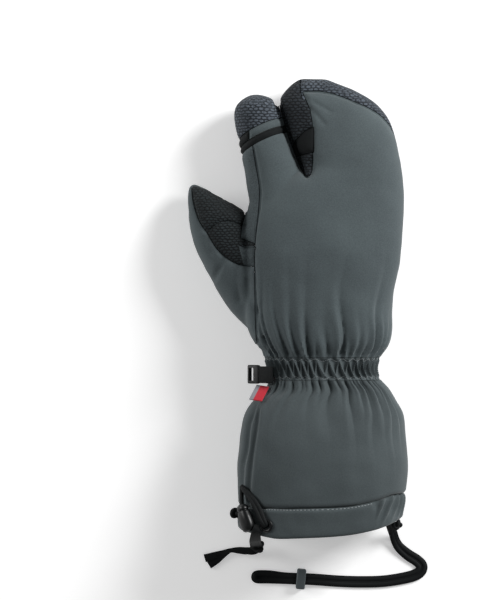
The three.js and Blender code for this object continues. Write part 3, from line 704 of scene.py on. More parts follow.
def lofts():
    """The closed lofts that make up the outside of the hand."""
    levels = list(np.linspace(3, 196, 66)) + [198, 200, 201.6, 203, 204.2, 204.8]
    skins = [loft_bmesh(96, levels, outline_points)]
    for table in (INDEX, THUMB):
        skins.append(loft_bmesh(64, np.linspace(0, len(table) - 1, 74), finger_place(table, 0)))
    return skins


KNUCKLES_Y = 82
ON_TOP = (25, 45)


def hand_relief(points, normals):
    """How far the cloth of the hand stands out of its plain form at each point."""
    x, y, z = points.T
    seen = points[:, :2]
    # the seams pull in, and the cloth puckers beside them and swells a little between them
    to_seam = seam_distance(points, normals)
    rise = -1.0 * hump(to_seam, 1.1) - 0.6 * hump(to_seam, 4.5) + 0.35
    rise += 0.45 * cloth_noise(points, 5.5, 3.0) * hump(to_seam, 4.0)
    rise += 0.9 * cloth_noise(points, 28, 9.0) + 0.3 * cloth_noise(points, 12, 5.0)
    rise *= ramp(8, 22, y)
    rise -= np.where(z > 12, 2.4, 1.0) * hump(path_distance(seen, FINGER_CREASE), 1.7)
    for path in TAB_CREASES:
        rise -= (z > 16) * 1.9 * hump(path_distance(seen, path), 1.0) * ramp(8, 13, y)
    for path, low, high in INNER_SEAMS:
        apart = path_distance(seen, path)
        here = (z > low) & (z < high)
        rise -= np.where(here, 0.9 * hump(apart, 1.0) + 0.5 * hump(apart, 3.5), 0)
    # gathers of the wrist, weaker on the thumb
    near_body = ramp(-6, 0, x + THUMB_EDGE)
    near_body = np.where(y < 30, np.maximum(near_body, 0.8), near_body)
    rise += gathers(y, outline_angle(points)) * near_body
    # the padding swells over the knuckles and slopes down beside the thumb
    on_top = ramp(*ON_TOP, z) * near_body
    rise += 3.4 * hump(y - KNUCKLES_Y, 38) * on_top
    beside = hump(x + THUMB_EDGE, 20) * ramp(14, 50, y)
    rise -= 2.2 * beside * ramp(165, 120, y) * on_top
    for line, depth, half in SOFT_DENTS:
        rise -= (z > 22) * depth * hump(path_distance(seen, line), half)
    # where the mitten lies on the floor it is flat
    return rise * ramp(0.5, 7, z)


def padded_shell():
    """The hollow hand in one piece, cut square at the wrist."""
    outer = relaxed(remeshed(lofts(), VOXEL, "outer skin"), 6)
    plain = coords(outer.data)
    normals = vertex_normals(outer.data)
    points = plain + normals * hand_relief(plain, normals)[:, None]
    coarse = relaxed(remeshed(lofts(), COARSE_VOXEL, "coarse skin"), 2)
    points += spread(*puffed(coarse), plain)
    drop(coarse)
    points[:, 2] = np.maximum(points[:, 2], 0)
    set_coords(outer.data, points)

    inner = [loft_bmesh(48, np.linspace(0, 199, 40), lambda y, a: outline_points(y, a, HAND_WALL))]
    for table, start, end in ((INDEX, 0, 6.8), (THUMB, 0.3, 6.8)):
        inner.append(loft_bmesh(40, np.linspace(start, end, 40), finger_place(table, HAND_WALL)))
    hollow = relaxed(remeshed(inner, HOLLOW_VOXEL, "hollow"), 3)
    wrist_end = moved(rounded_box("wrist end", (300, 40, 300), 0), (0, WRIST_END - 20, 0))
    shell = combined(combined(outer, hollow, "DIFFERENCE"), wrist_end, "DIFFERENCE")
    drop(hollow, wrist_end)
    return shell


def build_hand():
    """The padded shell of the hand, cut into its panels: each one's piece and material by name."""
    shell = padded_shell()
    pieces = {}
    for name, slot, regions in PANELS:
        inside = regions[0].solid(0)
        around = regions[0].solid(SEAM_SEEN if regions[0].high == FAR else SEAM_UNDER)
        for region in regions[1:]:
            extra, extra_around = region.solid(0), region.solid(SEAM_UNDER)
            inside = combined(inside, extra, "UNION")
            around = combined(around, extra_around, "UNION")
            drop(extra, extra_around)
        pieces[name] = (combined(copy_of(shell, name), inside, "INTERSECT"), slot)
        shell = combined(shell, around, "DIFFERENCE")
        drop(inside, around)
    shell.name = "palm_panel"
    pieces["palm_panel"] = (shell, "palm")
    for name, seam in SEAMS_IN_PIECES:
        scored(pieces[name][0], INNER_SEAMS[seam][0])
    for piece, _ in pieces.values():
        keep_islands(piece)
    return pieces


def scored(piece, path):
    """Cuts a hair-thin seam into the top of a piece along a line seen from above."""
    mesh = piece.data
    tree = BVHTree.FromPolygons(
        [v.co for v in mesh.vertices], [p.vertices[:] for p in mesh.polygons])
    line = []
    for x, y in spline(path, np.linspace(0, 1, 60)):
        hit = tree.ray_cast(Vector((x, y, 90)), Vector((0, 0, -1)))[0]
        if hit:
            line.append((x, y, hit.z - 0.1))
    if len(line) > 4:
        cutter = swept("seam", line, round_section(0.45, 8))
        combined(piece, cutter, "DIFFERENCE")
        drop(cutter)


def keep_islands(piece):
    """Takes away the crumbs left by the cuts."""
    bm = bmesh.new()
    bm.from_mesh(piece.data)
    seen, groups = set(), []
    for vert in bm.verts:
        if vert in seen:
            continue
        group, stack = [], [vert]
        seen.add(vert)
        while stack:
            v = stack.pop()
            group.append(v)
            for edge in v.link_edges:
                w = edge.other_vert(v)
                if w not in seen:
                    seen.add(w)
                    stack.append(w)
        groups.append(group)
    groups.sort(key=len, reverse=True)
    for group in groups[1:]:
        if len(group) < CRUMB:
            bmesh.ops.delete(bm, geom=group, context="VERTS")
    bm.to_mesh(piece.data)
    bm.free()


def ring_wall(name, around, outside, inside, place):
    """A tube's wall closed on itself: its outside from the first level on, and its inside back."""
    levels = np.array(list(outside) + list(inside)[::-1], float)
    outer = np.array([True] * len(outside) + [False] * len(inside))
    bm, column, row = flat_grid(around, len(levels))
    row %= len(levels)
    points = place(levels[row], 2 * math.pi * column / around, outer[row])
    return new_object(name, rolled_up(bm, points, capped=False))


def outline_normals(points, angle):
    """Directions out of the mitten's section, square to it."""
    row = smooth_row(OUTLINE, points[:, 1])
    across, deep = (row[:, 2] - row[:, 1]) / 2, (row[:, 4] - row[:, 3]) / 2
    c, s = np.cos(angle), np.sin(angle)
    n = np.where(s > 0, TOP_ROUNDNESS, PALM_ROUNDNESS)
    out = np.column_stack([
        signed_power(c, 2 * (n - 1) / n) / across, 0 * c, signed_power(s, 2 * (n - 1) / n) / deep])
    return out / np.linalg.norm(out, axis=1)[:, None]


# Across the mitten: how far the hem's seam and its edge are from the wrist
HEM = np.array([
    (-62, -96.6, -112.6), (-50, -96.5, -114.6), (-41, -96.4, -116.3), (-33, -96.3, -117.4),
    (-20, -96.2, -117), (15, -95, -115), (36, -91.6, -111.6),
    (50, -88, -107.6), (64, -87.6, -103),
])
RUFFLE_FROM = 35
GAUNTLET_START = -8.3
GAUNTLET_SEAM = np.array([
    (-43, -14), (-46.7, -27), (-51.2, -39), (-52.2, -56.5), (-55, -68.5), (-55.6, -80),
    (-55.4, -120),
])


def hem_at(x, column):
    """Where the hem's seam, column 1, or its edge, column 2, lies for places across the mitten."""
    return smooth_row(HEM, np.clip(x, -62, 64))[:, column]


def band_y(x, level):
    return BAND_REACH * (1 - 2 * level)


def gauntlet_y(x, level):
    return GAUNTLET_START + (hem_at(x, 1) + SEAM_GAP - GAUNTLET_START) * level


def hem_y(x, level):
    return hem_at(x, 1) + (hem_at(x, 2) - hem_at(x, 1)) * level


def cuff_surface(run, level, angle, inset):
    """Plain points of a cuff piece, whose y depends on where it is across the mitten."""
    x = outline_points(run(np.zeros(len(angle)), 0.5 + 0 * angle), angle)[:, 0]
    return outline_points(run(x, level), angle, inset)


def pleat(turn):
    """Narrow ridges, one for every half turn, with wide valleys between them."""
    return (1 - np.abs(np.sin(turn))) ** 1.5


PLEATS = 20
STITCHES_Y = 6.3


def band_rise(points, angle):
    """Slanting pleats of the elasticated wrist that cross one another, pinched at its stitches
    and running out into the gathers beside it."""
    y = points[:, 1]
    turn = PLEATS * angle + 0.6 * np.sin(3 * angle + 1) + 0.4 * np.sin(7 * angle)
    fold = np.maximum(pleat(turn - 0.17 * y), 0.78 * pleat(turn + 0.15 * y + 1.4))
    pinch = hump(np.abs(y) - STITCHES_Y, 0.9)
    rise = (3.0 * fold - 0.9) * (1 - 0.25 * pinch) - 0.15 * pinch
    edge = ramp(5.2, BAND_REACH, np.abs(y))
    return rise * (1 - edge) + (gathers(1.02 * y, angle) - 0.1) * edge


def gauntlet_rise(points, angle):
    """The wrist's gathers, a seam down the left with a ridge beside it, and the hem's groove."""
    y = points[:, 1]
    rise = gathers(y, angle)
    seam = np.abs(line_distance(points[:, :2], GAUNTLET_SEAM)[0])
    seam = np.where(points[:, 2] > 30, seam, FAR)
    rise -= 1.3 * hump(seam, 1.3) - 0.7 * hump(seam - 3.2, 2)
    rise -= 1.5 * hump(y - hem_at(points[:, 0], 1), 1.3)
    rise += 1.3 * cloth_noise(points, 34, 21) + 0.5 * cloth_noise(points, 13, 2)
    return rise


def hem_rise(points, angle):
    """The groove at the hem's seam, slanting ruffles at its two sides, and a notch between the
    ruffles and the flat stretch."""
    x = points[:, 0]
    to_seam = hem_at(x, 1) - points[:, 1]
    rise = 0.55 - 1.9 * hump(to_seam, 1.2)
    ruffled = np.maximum(ramp(RUFFLE_FROM, RUFFLE_FROM + 6, x), 0.5 * ramp(-50, -57, x))
    ruffled *= hump(to_seam - 5, 8.5)
    turn = PLEATS * angle + 1.1 * np.sin(5 * angle) - 0.22 * to_seam
    rise += ruffled * (2.6 * (0.5 + 0.5 * np.cos(2 * turn)) ** 1.6 - 0.8)
    rise -= 1.9 * ramp(44, 57, x)
    notch = np.hypot(x - RUFFLE_FROM - 1.5, 0.7 * (to_seam - 2))
    rise -= 1.3 * hump(notch, 2.2) * (points[:, 2] > 30)
    rise += 1.1 * cloth_noise(points, 30, 21) + 0.4 * cloth_noise(points, 9, 6)
    return rise


def cuff_piece(name, outside, inside, run, wall, rise, rounded=0.0):
    """A cuff wall with its gathers, rounded at its free end where asked. Its inside follows the
    outside's gathers by about half, and both are flat where the cuff lies on the floor."""

    def place(level, angle, outer):
        tip = np.clip((level - (1 - rounded)) / rounded, 0, 1) if rounded else 0 * level
        turn_in = wall / 2 * (1 - np.sqrt(1 - np.minimum(tip, 0.999) ** 2))
        inset = np.where(outer, turn_in, wall - turn_in)
        points = cuff_surface(run, level, angle, inset)
        plain = cuff_surface(run, level, angle, 0)
        grounded = ramp(0.5, 8, plain[:, 2])
        height = rise(plain, angle)
        height = np.where(outer, height, 0.55 * height - 0.3) * grounded
        points += outline_normals(plain, angle) * height[:, None]
        points[:, 2] = np.maximum(points[:, 2], np.where(outer, 0, 1.2))
        return points

    return ring_wall(name, AROUND, outside, inside, place)


# Vertices round the cuff, and the close levels that round the hem's edge
AROUND = 620
HEM_END = [0.93, 0.955, 0.975, 0.99, 1]
wrist_band = cuff_piece(
    "wrist_band", np.linspace(0, 1, 26), np.linspace(0, 1, 7), band_y, 3.0, band_rise)
gauntlet = cuff_piece(
    "gauntlet", np.linspace(0, 1, 70), np.linspace(0, 1, 18), gauntlet_y, 2.4, gauntlet_rise)
hem = cuff_piece(
    "hem", [*np.linspace(0, 0.9, 22), *HEM_END], [*np.linspace(0, 0.9, 8), *HEM_END],
    hem_y, 3.2, hem_rise, rounded=0.12)


def surface_frame(x, y, lift, rise=None):
    """A place above the top of the cuff, with the direction square to it."""
    row = smooth_row(OUTLINE, y)[0]
    u = (x - (row[1] + row[2]) / 2) / ((row[2] - row[1]) / 2)
    v = (1 - abs(u) ** TOP_ROUNDNESS) ** (1 / TOP_ROUNDNESS)
    angle = np.array([math.atan2(v ** (TOP_ROUNDNESS / 2), signed_power(u, TOP_ROUNDNESS / 2))])
    point = outline_points(np.array([y]), angle)
    ahead, behind = (outline_points(np.array([y + step]), angle)[0] for step in (0.5, -0.5))
    tilt = ahead - behind
    out = np.cross(np.cross(tilt, outline_normals(point, angle)[0]), tilt)
    out = Vector(out).normalized()
    height = lift + (float(rise(point, angle)[0]) if rise else 0)
    return Vector(point[0]) + out * height, out


def swept(name, path, section, ups=None, closed=False, sizes=None):
    """A closed tube: the section carried along the path, square to it and turned to the ups."""
    path = np.asarray(path, float)
    section = np.asarray(section, float)
    count, sides = len(path), len(section)
    if closed:
        ahead = np.roll(path, -1, axis=0) - np.roll(path, 1, axis=0)
    else:
        ahead = np.gradient(path, axis=0)
    ahead /= np.linalg.norm(ahead, axis=1)[:, None]
    if ups is None:
        up = np.array([0.0, 0, 1])
        if abs(ahead[0] @ up) > 0.9:
            up = np.array([1.0, 0, 0])
        ups = []
        for a in ahead:
            up = up - a * (up @ a)
            up /= np.linalg.norm(up)
            ups.append(up)
    ups = np.asarray(ups, float) + 0 * path
    ups = ups - ahead * np.sum(ups * ahead, axis=1)[:, None]
    ups /= np.linalg.norm(ups, axis=1)[:, None]
    side = np.cross(ahead, ups)
    sizes = np.ones(count) if sizes is None else np.asarray(sizes, float)
    bm, column, row = flat_grid(sides, count if closed else count - 1)
    row %= count
    points = (path[row] + side[row] * (section[column, 0] * sizes[row])[:, None]
              + ups[row] * (section[column, 1] * sizes[row])[:, None])
    return new_object(name, rolled_up(bm, points, capped=not closed))


def round_section(radius, sides=16):
    """A round cord's section."""
    a = np.arange(sides) * 2 * math.pi / sides
    return np.column_stack([radius * np.cos(a), radius * np.sin(a)])


def strap_section(width, thick, ribs=0, depth=0.12, sides=48):
    """A flat band's section, with lengthwise ribs on both faces where asked."""
    a = np.arange(sides) * 2 * math.pi / sides
    x = width / 2 * signed_power(np.cos(a), 0.35)
    y = thick / 2 * signed_power(np.sin(a), 0.6)
    if ribs:
        y *= 1 - depth * (1 - np.cos(2 * math.pi * ribs * (x / width + 0.5)))
    return np.column_stack([x, y])


def knot(name, centre, size, radius, turn=0.0, lean=0.4):
    """A small tight overhand knot of round cord."""
    t = np.linspace(0, 2 * math.pi, 97)[:-1]
    line = size / 6 * np.column_stack([
        np.sin(t) + 2 * np.sin(2 * t), np.cos(t) - 2 * np.cos(2 * t), -1.1 * np.sin(3 * t)])
    spin = Matrix.Rotation(turn, 3, "Z") @ Matrix.Rotation(lean, 3, "X")
    line = line @ np.array(spin).T + np.array(centre)
    return swept(name, line, round_section(radius, 12), closed=True)


def joined(name, parts):
    """Several meshes as one piece."""
    bm = bmesh.new()
    for part in parts:
        bm.from_mesh(part.data)
    drop(*parts)
    return new_object(name, bm)


def rounded_box(name, size, bevel, segments=3):
    """A box with bevelled edges round the origin."""
    bm = bmesh.new()
    bmesh.ops.create_cube(bm, size=1)
    bmesh.ops.scale(bm, vec=size, verts=bm.verts)
    if bevel:
        bmesh.ops.bevel(bm, geom=list(bm.edges), offset=bevel, segments=segments, profile=0.5,
                        affect="EDGES", material=-1)
    return new_object(name, bm)


def moved(piece, place, turn=None):
    """Puts a piece's vertices where it belongs; the object stays at the origin."""
    matrix = Matrix.Translation(Vector(place))
    if turn:
        matrix = matrix @ turn.to_matrix().to_4x4()
    piece.data.transform(matrix)
    return piece


def laid_turn(out, spin=0.0):
    """The turn that lays something flat on a surface with that outward direction."""
    return Vector((0, 0, 1)).rotation_difference(out) @ Quaternion((0, 0, 1), spin)


# Grommet in the hem: a rolled ring round a real hole
GROMMET_RADIUS = 3.75
grommet_place, grommet_out = surface_frame(-38.4, -108.2, 0.75, hem_rise)
grommet_turn = laid_turn(grommet_out)
ring_angles = np.arange(64) * 2 * math.pi / 64
ring_path = np.column_stack([
    GROMMET_RADIUS * np.cos(ring_angles), GROMMET_RADIUS * np.sin(ring_angles), 0 * ring_angles])
grommet = swept("grommet", ring_path, round_section(1.15, 14) * (1, 0.75), [(0, 0, 1)], closed=True)
moved(grommet, grommet_place, grommet_turn)
drill = bmesh.new()
bmesh.ops.create_cone(drill, cap_ends=True, segments=40, radius1=2.9, radius2=2.9, depth=16)
drill = moved(new_object("drill", drill), grommet_place, grommet_turn)
combined(hem, drill, "DIFFERENCE")
drop(drill)

# Lock of the shock cord: a pear-shaped barrel with a button, lying along the side of the hem
lock_place, lock_out = surface_frame(-49.2, -103.2, 5.6)
lock_turn = laid_turn(lock_out, 0.4)
# Along the lock: half width and half thickness
LOCK = np.array([
    (-9.8, 0.4, 0.4), (-9.6, 2.8, 2.2), (-8.7, 4.2, 3.2), (-7, 5.0, 3.8), (-4, 5.4, 4.1),
    (0, 5.2, 4.2), (3.0, 4.7, 4.0), (4.8, 4.3, 3.7), (5.2, 3.8, 3.2), (5.7, 3.8, 3.2),
    (6.0, 4.2, 3.6), (7.8, 4.0, 3.5), (9.0, 3.2, 2.8), (9.6, 2.2, 1.9), (9.8, 0.4, 0.4),
])


def lock_points(level, angle):
    """Points of the lock at places along it, in a section a little squarer than an ellipse."""
    size = smooth_row(LOCK, level)
    c, s = signed_power(np.cos(angle), 0.8), signed_power(np.sin(angle), 0.8)
    return np.column_stack([size[:, 1] * c, level, size[:, 2] * s])


lock_levels = sorted(set(np.round(np.linspace(-9.8, 9.8, 70), 3)) | {5.0, 5.2, 5.7, 5.9})
lock = new_object("cord_lock_body", loft_bmesh(48, lock_levels, lock_points))
moved(lock, lock_place, lock_turn)
lock_knot = knot("cord_lock_knot", (-59.0, -101.2, 50), 8.0, 1.7, 0.2, 1.0)

# Shock cord from the gauntlet's side: doubled past the lock into the grommet, and a strand to
# the lock
shock_line = [surface_frame(x, y, lift)[0] for x, y, lift in (
    (-54.4, -82, 1.7), (-51.6, -85.6, 2.6), (-47.0, -92, 3.0), (-43.6, -98.6, 3.1),
    (-41.0, -104.2, 3.4), (-39.2, -107.6, 2.4), (-38.5, -108.6, -1.6))]
beside = Vector((2.3, 1.2, 0.2))
doubled = [p + beside * math.sin(math.pi * i / 6) for i, p in enumerate(shock_line)]
lock_top = lock_place + lock_turn @ Vector((-0.6, 9.2, -0.4))
to_lock = [shock_line[0], surface_frame(-54.0, -88, 2.4)[0], lock_top]
shock_cord = joined("shock_cord", [
    swept("strand", spline(line, np.linspace(0, 1, 60)), round_section(1.5))
    for line in (shock_line, doubled, to_lock)])

# Tab of webbing with its plastic frame, and the folded label below it
tab_turn = Quaternion((0, 1, 0), -0.62)
tab = moved(rounded_box("tab_webbing", (11.4, 11.9, 2.2), 0.7), (-39, -4.4, 48), tab_turn)
tab_frame = rounded_box("tab_frame", (9.4, 13.2, 3.6), 1.1, 4)
slot_cut = moved(rounded_box("slot", (3.8, 9.2, 12), 0.6), (-1.2, 0, 0))
combined(tab_frame, slot_cut, "DIFFERENCE")
drop(slot_cut)
moved(tab_frame, (-47.46, -4.2, 41.96), tab_turn)
label_place, label_out = Vector((-43.8, -17.2, 49.3)), Vector((-0.3, 1.1, 1)).normalized()
label_turn = laid_turn(label_out, -0.3)
label = moved(rounded_box("side_label", (9.8, 14.4, 1.1), 0.35, 2), label_place, label_turn)

# Flat tape from the lock over the hem's edge, knotted on the floor, with two tails. The sizes
# gather it at the lock and the knot, and widen it where it hangs doubled
TAPE_WIDTH = 4.6
TAPE = [
    (-45.6, -107.5, 69.2), (-46.2, -113, 67.6), (-46.6, -118.8, 58), (-46.5, -121.6, 44),
    (-46.3, -124.4, 28), (-46, -127, 13), (-45.9, -130.2, 5), (-48.2, -132.2, 2.4),
    (-52.3, -132.3, 1.6), (-58, -131.8, 1.4), (-63.5, -131.6, 1.4), (-70, -133.8, 1.4),
    (-76, -135.8, 1.4), (-82.6, -137.8, 1.4),
]
TAPE_SIZES = [0.7, 1.45, 1.75, 1.8, 1.8, 1.8, 1.75, 1.3, 1.1, 0.95, 0.5, 0.8, 1.1, 1.25]
TAIL = [
    (-48, -131.6, 3.6), (-53, -132.6, 3.2), (-58.5, -132.4, 3.0), (-63.8, -132.4, 2.8),
    (-68.5, -135, 1.6), (-74, -139.2, 1.0), (-79.6, -142.6, 0.9),
]
TAIL_SIZES = [0.9, 1.0, 0.8, 0.5, 0.85, 1.15, 1.3]


def laid_tape(name, line, sizes, count, thick, ups_along):
    """A ribbed tape along a line, as wide as the sizes say, and the line down its middle."""
    t = np.linspace(0, 1, count)
    path = spline(line, t)
    widths = np.interp(t, np.linspace(0, 1, len(line)), sizes)
    section = strap_section(TAPE_WIDTH, thick, 3)
    return swept(name, path, section, ups_along(path), sizes=widths), path


def tape_ups(path):
    """Away from the hem where the tape hangs, and up where it lies."""
    hanging = Vector((0.1, -1, 0.5))
    return [hanging.lerp(Vector((0, 0, 1)), float(ramp(11, 3, p[2]))) for p in path]


tape, tape_path = laid_tape("pull_tape", TAPE, TAPE_SIZES, 220, 1.2, tape_ups)
tail, tail_path = laid_tape("pull_tape_tail", TAIL, TAIL_SIZES, 90, 1.1, lambda path: [(0, 0, 1)])
tape_knot = knot("pull_tape_knot", (-44.2, -128.8, 6.4), 6.4, 2.0, 0.3)

# Leash of flat ribbed elastic: out of the cuff, along the floor, through the slider, round its
# end and back. Two runs lie side by side, one above the other at first
LEASH_WIDTH = 4.3
LEG_OFFSET = 2.05
SLIDER_PLACE = (-13.4, -152.4, 3.2)
LEASH = [
    (46.7, -90, 17.4), (47.6, -99, 16.9), (48.9, -108, 16.5), (50.8, -114.2, 10.6),
    (52.8, -119.6, 5), (54.6, -125, 2.2), (57.6, -130, 1.2), (63.8, -135.4, 1), (70, -139.4, 1),
    (73.6, -143.6, 1), (71.4, -148.4, 1), (63, -151.6, 1), (46.5, -154.3, 1), (29.9, -154.8, 1),
    (13.4, -154.3, 1), (-0.3, -153.2, 1.6), (-8, -152.6, 3.0), SLIDER_PLACE, (-19, -152.2, 3.0),
]
LEASH_LOOP = [
    (-27, -149.9, 1.5), (-34, -149, 1.2), (-40, -148.7, 1.2), (-44.3, -148.7, 1.6),
    (-46.2, -149.4, 2.1), (-46.9, -151.1, 2.3), (-46.2, -152.8, 2.1), (-44.3, -153.5, 1.6),
    (-40, -153.5, 1.2), (-34, -153.6, 1.2), (-27, -154, 1.5),
]


def leg(side):
    """One of the leash's two runs, on its side of the line between them."""
    t = np.linspace(0, 1, 60)
    line = spline(LEASH, t)
    ahead = np.gradient(line, axis=0)[:, :2]
    ahead /= np.linalg.norm(ahead, axis=1)[:, None]
    apart = LEG_OFFSET * (0.55 + 0.45 * ramp(0.25, 0.42, t))
    lift = side * 1.1 * ramp(0.42, 0.25, t)
    return line + np.column_stack([side * apart * ahead[:, 1], -side * apart * ahead[:, 0], lift])


LEASH_SMOOTHING = 6
leash_line = np.vstack([leg(1), LEASH_LOOP, leg(-1)[::-1]])
leash_path = spline(leash_line, np.linspace(0, 1, 620))
for _ in range(LEASH_SMOOTHING):
    leash_path[1:-1] = 0.25 * leash_path[:-2] + 0.5 * leash_path[1:-1] + 0.25 * leash_path[2:]
leash_path[:, 2] = np.maximum(leash_path[:, 2], 1.0)
# the elastic is a little wider where it turns back
leash_sizes = 1 + 0.13 * ramp(-22, -36, leash_path[:, 0])
leash_section = strap_section(LEASH_WIDTH, 1.6, 4, 0.3)
leash = swept("leash", leash_path, leash_section, [(0, 0, 1)], sizes=leash_sizes)
leash_knot = knot("leash_knot", (55.4, -112.6, 13), 5.6, 1.5, 1.0, 0.9)
slider = rounded_box("leash_slider", (6.6, 14.6, 6.2), 1.3, 4)
slider_cut = rounded_box("slot", (20, 10.6, 2.6), 0.6)
combined(slider, slider_cut, "DIFFERENCE")
drop(slider_cut)
moved(slider, SLIDER_PLACE, Quaternion((0, 0, 1), -0.09))

hand = build_hand()


# Threads: small stitches laid on the cuff
def surface_row(run, rise, level, angle, lift):
    """Places along a row of stitches on a cuff piece."""
    plain = cuff_surface(run, level, angle, 0)
    height = rise(plain, angle) * ramp(0.5, 8, plain[:, 2]) + lift
    return plain + outline_normals(plain, angle) * height[:, None]


def stitches(name, rows, length, radius):
    """Rows of short threads, each from one place to the next but for a gap."""
    bm = bmesh.new()
    for points in rows:
        for a, b in zip(points[:-1], points[1:]):
            a, b = Vector(a), Vector(b)
            span = (b - a).length
            if span < 0.3 or span > 3 * length or min(a.z, b.z) < 0.8:
                continue
            turn = Vector((0, 0, 1)).rotation_difference(b - a).to_matrix().to_4x4()
            size = Matrix.Diagonal((radius, radius, min(length, span * 0.8) / 2, 1))
            bmesh.ops.create_uvsphere(bm, u_segments=6, v_segments=5, radius=1,
                                      matrix=Matrix.Translation((a + b) / 2) @ turn @ size)
    return new_object(name, bm)


# One row along the flat stretch of the hem, and a zigzag along each edge of the wrist band
around_hem = np.linspace(0, 2 * math.pi, 150)
hem_row = surface_row(hem_y, hem_rise, 0.045 + 0 * around_hem, around_hem, 0.25)
sewn = cuff_surface(hem_y, 0.1 + 0 * around_hem, around_hem, 0)[:, 0] < RUFFLE_FROM
hem_threads = stitches("hem_stitches", [hem_row[sewn]], 1.9, 0.24)
around_band = np.linspace(0, 2 * math.pi, 300)
zigzag = np.abs(((around_band * 31 / math.pi + 0.4) % 2) - 1) * 0.13
band_rows = [surface_row(band_y, band_rise, start + zigzag, around_band, 0.12)
             for start in (0.055, 0.82)]
band_threads = stitches("wrist_stitches", band_rows, 0.75, 0.17)


# Materials: one small function adds a node, and one turns a screen colour linear
def linear(code):
    """A linear colour from its sRGB hex digits."""
    parts = [int(code[i:i + 2], 16) / 255 for i in (0, 2, 4)]
    return [c / 12.92 if c <= 0.04045 else ((c + 0.055) / 1.055) ** 2.4 for c in parts] + [1.0]


def node(tree, kind, *values, output=0, **settings):
    """Adds a node and gives one of its outputs, or all for None. The values go to its inputs in
    order, settings with a capital to the input of that name, and the others to its options. A
    value that is another node's output is linked."""
    made = tree.nodes.new("ShaderNode" + kind)
    inputs = list(enumerate(values))
    for key, value in settings.items():
        if key[0].isupper():
            inputs.append((key.replace("_", " "), value))
        else:
            setattr(made, key, value)
    for key, value in inputs:
        if isinstance(value, bpy.types.NodeSocket):
            tree.links.new(value, made.inputs[key])
        else:
            made.inputs[key].default_value = value
    return made.outputs if output is None else made.outputs[output]


def new_material(name):
    """A material with an empty node tree."""
    material = bpy.data.materials.new(name)
    material.use_nodes = True
    material.node_tree.nodes.clear()
    return material, material.node_tree


PER_METRE = 1000


def plain_weave(name, dark, light, roughness, thread=0.7, sheen=0.15, depth=0.00005):
    """Closely woven cloth: flecks of lighter thread, drawn a few threads wide because one would
    be too fine to show, broad unevenness every 45 mm and a slight nap."""
    material, tree = new_material(name)
    place = node(tree, "TexCoord", output="Object")
    fine, wide = (node(tree, "VectorMath", place, operation="SCALE", Scale=PER_METRE / size)
                  for size in (thread, 45))
    flecks = node(tree, "TexNoise", Vector=fine, Scale=1.0, Detail=3.0, Roughness=0.7)
    broad = node(tree, "TexNoise", Vector=wide, Scale=1.0, Detail=2.0)
    few = node(tree, "Math", flecks, 0.65, operation="MULTIPLY")
    mixed = node(tree, "Math", broad, 0.35, few, operation="MULTIPLY_ADD")
    factor = node(tree, "MapRange", mixed, 0.3, 0.7, 0.0, 1.0)
    colour = node(tree, "Mix", output="Result", data_type="RGBA",
                  Factor=factor, A=linear(dark), B=linear(light))
    bump = node(tree, "Bump", Height=flecks, Distance=depth, Strength=0.8)
    surface = node(
        tree, "BsdfPrincipled", Base_Color=colour, Normal=bump, Roughness=roughness,
        Sheen_Weight=sheen, Sheen_Roughness=0.5, Specular_IOR_Level=0.18)
    node(tree, "OutputMaterial", surface, output=None)
    return material


